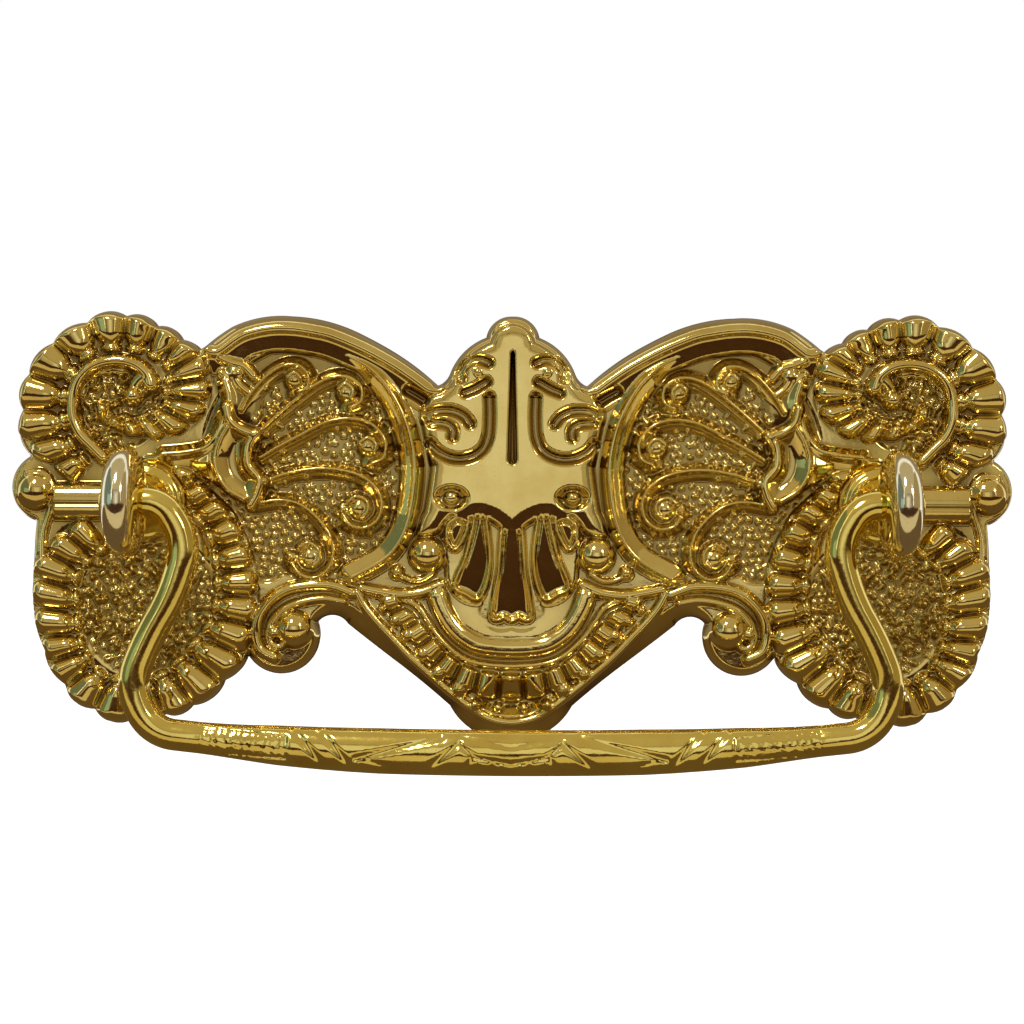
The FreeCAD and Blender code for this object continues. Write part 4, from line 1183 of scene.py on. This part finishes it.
def bail_line():
    # The middle line from one pin round the grip to the other, x and z.
    arm = rounded_corners(arm_corners, 0.32)
    x, z = grip_points[-2]
    tail = smooth_points(arm_corners[-2:] + grip_points + [(-x, z)], 0.16)
    start = next(i for i, p in enumerate(tail) if p[0] <= arm_corners[-1][0])
    half = [np.array(p) for p in arm[:-1] + tail[start:] if p[0] > 0.05]
    half.append(np.array(grip_points[-1]))
    clean = [half[0]]
    for p in half[1:]:
        if np.linalg.norm(p - clean[-1]) > 0.05:
            clean.append(p)
    return clean + [np.array([-p[0], p[1]]) for p in clean[-2::-1]]


def bail_rings():
    # Centre, heading and half sizes of each section of the bail.
    inner = pin_end - 0.45
    pin = [(pin_end, 1.05), (pin_end - 0.12, 1.28), (inner, pin_r)]
    pin += [(inner - (inner - arm_start - 0.25) * k / 5, pin_r) for k in range(1, 6)]
    across = np.array([-1.0, 0.0])
    line = bail_line()
    xs, swells = zip(*reversed(grip_swell))
    rings = [(np.array([x, 0.0]), across, r, r) for x, r in pin]
    for i, p in enumerate(line):
        a = line[max(0, i - 1)]
        b = line[min(len(line) - 1, i + 1)]
        on_grip = p[1] < grip_top_z and abs(p[0]) < grip_end_x
        swell = float(np.interp(abs(p[0]), xs, swells)) if on_grip else 0.0
        swell = smooth_step(swell) * 0.5 + swell * 0.5
        rings.append((p, (b - a) / np.linalg.norm(b - a), arm_r + (grip_half_z - arm_r) * swell,
                      arm_r + (grip_half_y - arm_r) * swell))
    return rings + [(np.array([-x, 0.0]), across, r, r) for x, r in reversed(pin)]


def stipple(x, z):
    # A repeatable uneven punched pattern.
    return 0.5 + 0.5 * (math.sin(x * 9.1 + 1.7 * math.sin(z * 5.3))
                        * math.sin(z * 8.3 + 1.3 * math.sin(x * 4.1)))


def engraving(x, z):
    # Depth cut into the front of the grip, in millimetres, from plain lines.
    depth = 0.0
    for (x0, z0), (x1, z1), half, deep in grip_cuts:
        length = math.hypot(x1 - x0, z1 - z0)
        t = max(0.0, min(1.0, ((x - x0) * (x1 - x0) + (z - z0) * (z1 - z0)) / length ** 2))
        d = math.hypot(x - x0 - (x1 - x0) * t, z - z0 - (z1 - z0) * t)
        depth = max(depth, deep * max(0.0, 1 - (d / half) ** 2))
    return depth


def grip_cut(x, z, side, rise):
    # The engraved lines, and the sunk stippled panels at both ends of the grip.
    off = abs(x)
    panel = min(smooth_step((off - panel_start) / 0.6), smooth_step((panel_end - off) / 0.8))
    panel *= smooth_step((panel_half - abs(side)) / 0.3)
    return engraving(off, z) * min(1.0, 2.5 * rise) + panel * (0.12 + 0.1 * stipple(x, z))


def make_bail():
    around = 64
    rings = bail_rings()
    verts = []
    for p, heading, half_z, half_y in rings:
        out = np.array([-heading[1], heading[0]])
        on_grip = p[1] < grip_top_z and abs(p[0]) < panel_end
        for side, forward in circle(1.0, around):
            rise = forward
            side, forward = side * half_z, forward * half_y
            x, z = p + out * side
            if on_grip and forward > 0:
                forward -= grip_cut(x, z, side, rise)
            verts.append((x, -eye_h - forward, z))
    faces = tube_faces(len(rings), around)
    faces.append(tuple(reversed(range(around))))
    faces.append(tuple((len(rings) - 1) * around + k for k in range(around)))
    obj = joined("cast_bail", [(verts, faces)])
    obj.data.set_sharp_from_angle(angle=math.radians(35))
    return obj


def add_node(tree, kind, sockets=(), **settings):
    # Adds a node. Each socket gets a value, or is linked to another node's output.
    node = tree.nodes.new("ShaderNode" + kind)
    for label, value in settings.items():
        setattr(node, label, value)
    for label, value in dict(sockets).items():
        if isinstance(value, bpy.types.NodeSocket):
            tree.links.new(value, node.inputs[label])
        else:
            node.inputs[label].default_value = value
    return node


def new_material(name):
    mat = bpy.data.materials.new(name)
    mat.use_nodes = True
    return mat, mat.node_tree


def brass(name, colour, roughness, hollow_shade_colour=None):
    mat, tree = new_material(name)
    shader = tree.nodes["Principled BSDF"]
    shader.inputs["Metallic"].default_value = 1.0
    shader.inputs["Coat Weight"].default_value = lacquer
    shader.inputs["Coat Roughness"].default_value = 0.06
    shader.inputs["Coat Tint"].default_value = (1.0, 0.93, 0.74, 1.0)
    place = add_node(tree, "TexCoord").outputs["Object"]

    def noise(scale, detail, rough=0.5):
        return add_node(tree, "TexNoise", {"Scale": scale, "Detail": detail, "Roughness": rough,
                                           "Vector": place}).outputs["Fac"]

    def painted(label):
        return add_node(tree, "Attribute", attribute_name=label).outputs["Fac"]

    def spread(source, lo, hi, out_lo, out_hi):
        return add_node(tree, "MapRange", {"From Min": lo, "From Max": hi, "To Min": out_lo,
                                           "To Max": out_hi, "Value": source}).outputs["Result"]

    def toward(share, tint):
        # Moves the colour toward a tint. A colour mix has its A, B and result at 6, 7 and 2.
        sockets = {"Factor": share, 6: colour_now, 7: (*tint, 1.0)}
        return add_node(tree, "Mix", sockets, data_type="RGBA").outputs[2]

    colour_now = (*colour, 1.0)
    cloudy_tint = tuple(c * k for c, k in zip(colour, (0.86, 0.8, 0.66)))
    colour_now = toward(spread(noise(220.0, 4.0), 0.35, 0.7, 0.0, 1.0), cloudy_tint)
    if hollow_shade_colour is not None:
        ground = painted("ground")
        # Painted shade: the hollows' colour is darkened toward a deep brown.
        colour_now = toward(spread(painted("painted_hollow_shade"), 0.02, 0.75, 0.0, 0.85), hollow_shade_colour)
        # Painted shade: the bare punched ground is darkened toward a dark brown, and it is also dulled.
        colour_now = toward(spread(ground, 0.0, 1.0, 0.0, 0.8), raw_and_shaded_ground_colour)
    # Painted highlight: the eyes' forward faces are paled toward a near-white tint.
    colour_now = toward(spread(painted("painted_eye_highlight"), 0.0, 1.0, 0.0, 0.85), eye_highlight_colour)
    speck_tint = tuple(c * 0.45 for c in colour)
    colour_now = toward(spread(noise(5200.0, 2.0), 0.66, 0.74, 0.0, 0.5), speck_tint)
    tree.links.new(colour_now, shader.inputs["Base Color"])
    wear = spread(noise(900.0, 5.0, 0.6), 0.3, 0.75, roughness * 0.75, roughness * 1.5)
    if hollow_shade_colour is not None:
        # The punched ground is duller than the burnished relief.
        dull = add_node(tree, "Math", {0: ground, 1: 0.12, 2: wear}, operation="MULTIPLY_ADD")
        wear = dull.outputs["Value"]
        tree.links.new(spread(ground, 0.0, 1.0, lacquer, 0.1), shader.inputs["Coat Weight"])
    tree.links.new(wear, shader.inputs["Roughness"])
    bump = add_node(tree, "Bump", {"Strength": 0.12, "Distance": 0.08 * MM, "Height": noise(1500.0, 3.0)})
    tree.links.new(bump.outputs["Normal"], shader.inputs["Normal"])
    return mat


lacquer = 0.35
# Darker colour of the raw back, and painted shade on the low punched ground.
raw_and_shaded_ground_colour = (0.34, 0.23, 0.07)
# tint of the painted highlight on the eyes' forward faces
eye_highlight_colour = (0.86, 0.83, 0.72)
# The plate's last colour is the painted shade of its hollows.
plate_brass = brass("plate_brass", (0.82, 0.67, 0.26), 0.08, (0.15, 0.075, 0.02))
cast_brass = brass("cast_brass", (0.88, 0.73, 0.22), 0.1)


def dress(obj, material, node):
    obj.data.materials.append(material)
    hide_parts(node)
    return obj


front_skin, back_skin = plate_skins()
for side, sign in (("left", -1), ("right", 1)):
    half = make_plate_half(sign, "pressed_plate_" + side, front_skin, back_skin)
    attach(dress(half, plate_brass, "backplate"), "mounted_plate")
for side, x in (("left", -half_centres), ("right", half_centres)):
    post = dress(make_post(side + "_eye_post", x), cast_brass, side + "_post")
    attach(post, "mounted_plate")
    nut = dress(make_nut(side + "_hex_nut", x), cast_brass, side + "_nut")
    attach(nut, "mounted_plate")
bail = dress(make_bail(), cast_brass, "bail")
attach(bail, "bail")


# floor, studio cards, lamps and camera
def flat_object(name, half_x, half_y, material):
    # A rectangle in the studio, which isn't part of the pull.
    mesh = bpy.data.meshes.new(name)
    mesh.from_pydata([(-half_x, -half_y, 0), (half_x, -half_y, 0), (half_x, half_y, 0),
                      (-half_x, half_y, 0)], [], [(0, 1, 2, 3)])
    obj = bpy.data.objects.new(name, mesh)
    bpy.context.scene.collection.objects.link(obj)
    obj.data.materials.append(material)
    return obj


def turned_to(centre, facing, axis):
    return (Vector(facing) - Vector(centre)).to_track_quat(axis, "Y").to_euler()


def card(name, centre, size, facing, colour, strength):
    # A studio card that only shows in the metal's reflections.
    mat, tree = new_material(name)
    tree.nodes.clear()
    glow = add_node(tree, "Emission", {"Color": (*colour, 1.0), "Strength": strength})
    add_node(tree, "OutputMaterial", {"Surface": glow.outputs["Emission"]})
    obj = flat_object(name, size[0] / 2, size[1] / 2, mat)
    obj.location = centre
    obj.rotation_euler = turned_to(centre, facing, "Z")
    obj.visible_camera = False
    obj.visible_diffuse = False
    obj.visible_shadow = False
    obj.visible_transmission = False


def larger(tree, a, b):
    return add_node(tree, "Math", {0: a, 1: b}, operation="MAXIMUM").outputs["Value"]


def make_floor():
    # Pale paper that the camera and the metal see a little lighter than it is lit.
    mat, tree = new_material("floor_paper")
    tree.nodes.clear()
    path = add_node(tree, "LightPath")
    seen = larger(tree, path.outputs["Is Camera Ray"], path.outputs["Is Glossy Ray"])
    lift = add_node(tree, "Math", {0: seen, 1: 0.72}, operation="MULTIPLY")
    matte = add_node(tree, "BsdfDiffuse", {"Color": (0.86, 0.86, 0.86, 1.0)})
    glow = add_node(tree, "Emission", {"Strength": lift.outputs["Value"]})
    both = add_node(tree, "AddShader", {0: matte.outputs["BSDF"], 1: glow.outputs["Emission"]})
    add_node(tree, "OutputMaterial", {"Surface": both.outputs["Shader"]})
    floor_half = 3.0
    flat_object("floor", floor_half, floor_half, mat).location = (0, 0, -0.056)


def make_world():
    # White to the camera and to the metal, a little softer as light.
    world = bpy.data.worlds.new("studio")
    world.use_nodes = True
    tree = world.node_tree
    tree.nodes.clear()
    shown = add_node(tree, "Background", {"Color": (1.0, 1.0, 1.0, 1.0), "Strength": 1.0})
    soft = add_node(tree, "Background", {"Color": (0.95, 0.97, 1.0, 1.0), "Strength": 0.55})
    path = add_node(tree, "LightPath")
    seen = larger(tree, path.outputs["Is Camera Ray"], path.outputs["Is Glossy Ray"])
    seen = larger(tree, seen, path.outputs["Is Transmission Ray"])
    both = add_node(tree, "MixShader", {0: seen, 1: soft.outputs["Background"],
                                        2: shown.outputs["Background"]})
    add_node(tree, "OutputWorld", {"Surface": both.outputs["Shader"]})
    bpy.context.scene.world = world


def lamp(name, location, aim, size, power, colour=(1, 1, 1)):
    data = bpy.data.lights.new(name, "AREA")
    data.shape = "RECTANGLE"
    data.size, data.size_y = size
    data.energy = power
    data.color = colour
    obj = bpy.data.objects.new(name, data)
    bpy.context.scene.collection.objects.link(obj)
    obj.location = location
    obj.rotation_euler = turned_to(location, aim, "-Z")


make_floor()
make_world()
card("card_front", (0, -0.72, 0.06), (0.3, 0.3), (0, 0, 0), (1.0, 0.97, 0.9), 0.78)
card("card_mid", (0, -0.75, 0.06), (0.62, 0.44), (0, 0, 0), (0.8, 0.72, 0.52), 0.62)
card("card_surround", (0, -0.86, 0.12), (2.0, 1.3), (0, 0, 0), (0.32, 0.28, 0.21), 0.7)
card("card_top", (0, -0.36, 0.62), (1.5, 1.2), (0, 0, 0), (0.78, 0.66, 0.42), 0.64)
card("card_low", (0, -0.49, -0.052), (1.7, 0.72), (0, -0.49, 1), (0.075, 0.034, 0.018), 0.8)
card("card_gold", (0, -0.09, -0.052), (1.7, 0.08), (0, -0.09, 1), (0.72, 0.6, 0.36), 0.9)
card("card_under", (0, 0.1, -0.052), (1.7, 0.3), (0, 0.1, 1), (0.2, 0.13, 0.06), 0.7)
card("card_left", (-0.78, -0.36, 0.22), (1.0, 1.2), (0, 0, 0), (0.25, 0.33, 0.29), 0.66)
card("card_left_low", (-0.5, -0.4, -0.02), (0.3, 0.3), (0, 0, 0), (0.36, 0.52, 0.5), 1.0)
card("card_right", (0.8, -0.36, 0.22), (1.0, 1.2), (0, 0, 0), (0.44, 0.34, 0.18), 0.82)
card("strip_left", (-0.42, -0.56, 0.27), (0.035, 0.5), (0, 0, 0), (1.0, 1.0, 1.0), 2.2)
card("strip_right", (0.46, -0.54, 0.24), (0.03, 0.5), (0, 0, 0), (1.0, 0.98, 0.92), 2.0)
card("card_back", (0, 0.5, 0.16), (1.8, 1.2), (0, 0, 0), (0.36, 0.3, 0.22), 0.8)
lamp("key", (-0.16, -0.4, 0.46), (0, 0, 0), (0.1, 0.16), 0.9)
lamp("fill", (0.42, -0.5, 0.3), (0, 0, 0), (0.08, 0.12), 0.4, (1.0, 0.96, 0.9))

camera_data = bpy.data.cameras.new("photo_camera")
camera_data.sensor_width = 36.0
camera_data.lens = 68.6
camera_data.clip_start = 0.01
camera_data.clip_end = 20.0
camera = bpy.data.objects.new("photo_camera", camera_data)
bpy.context.scene.collection.objects.link(camera)
camera.location = (0.0, -205.0 * MM, -0.83 * MM)
camera.rotation_euler = (math.pi / 2, math.radians(-0.3), 0)
bpy.context.scene.camera = camera
bpy.context.scene.view_settings.view_transform = "Standard"
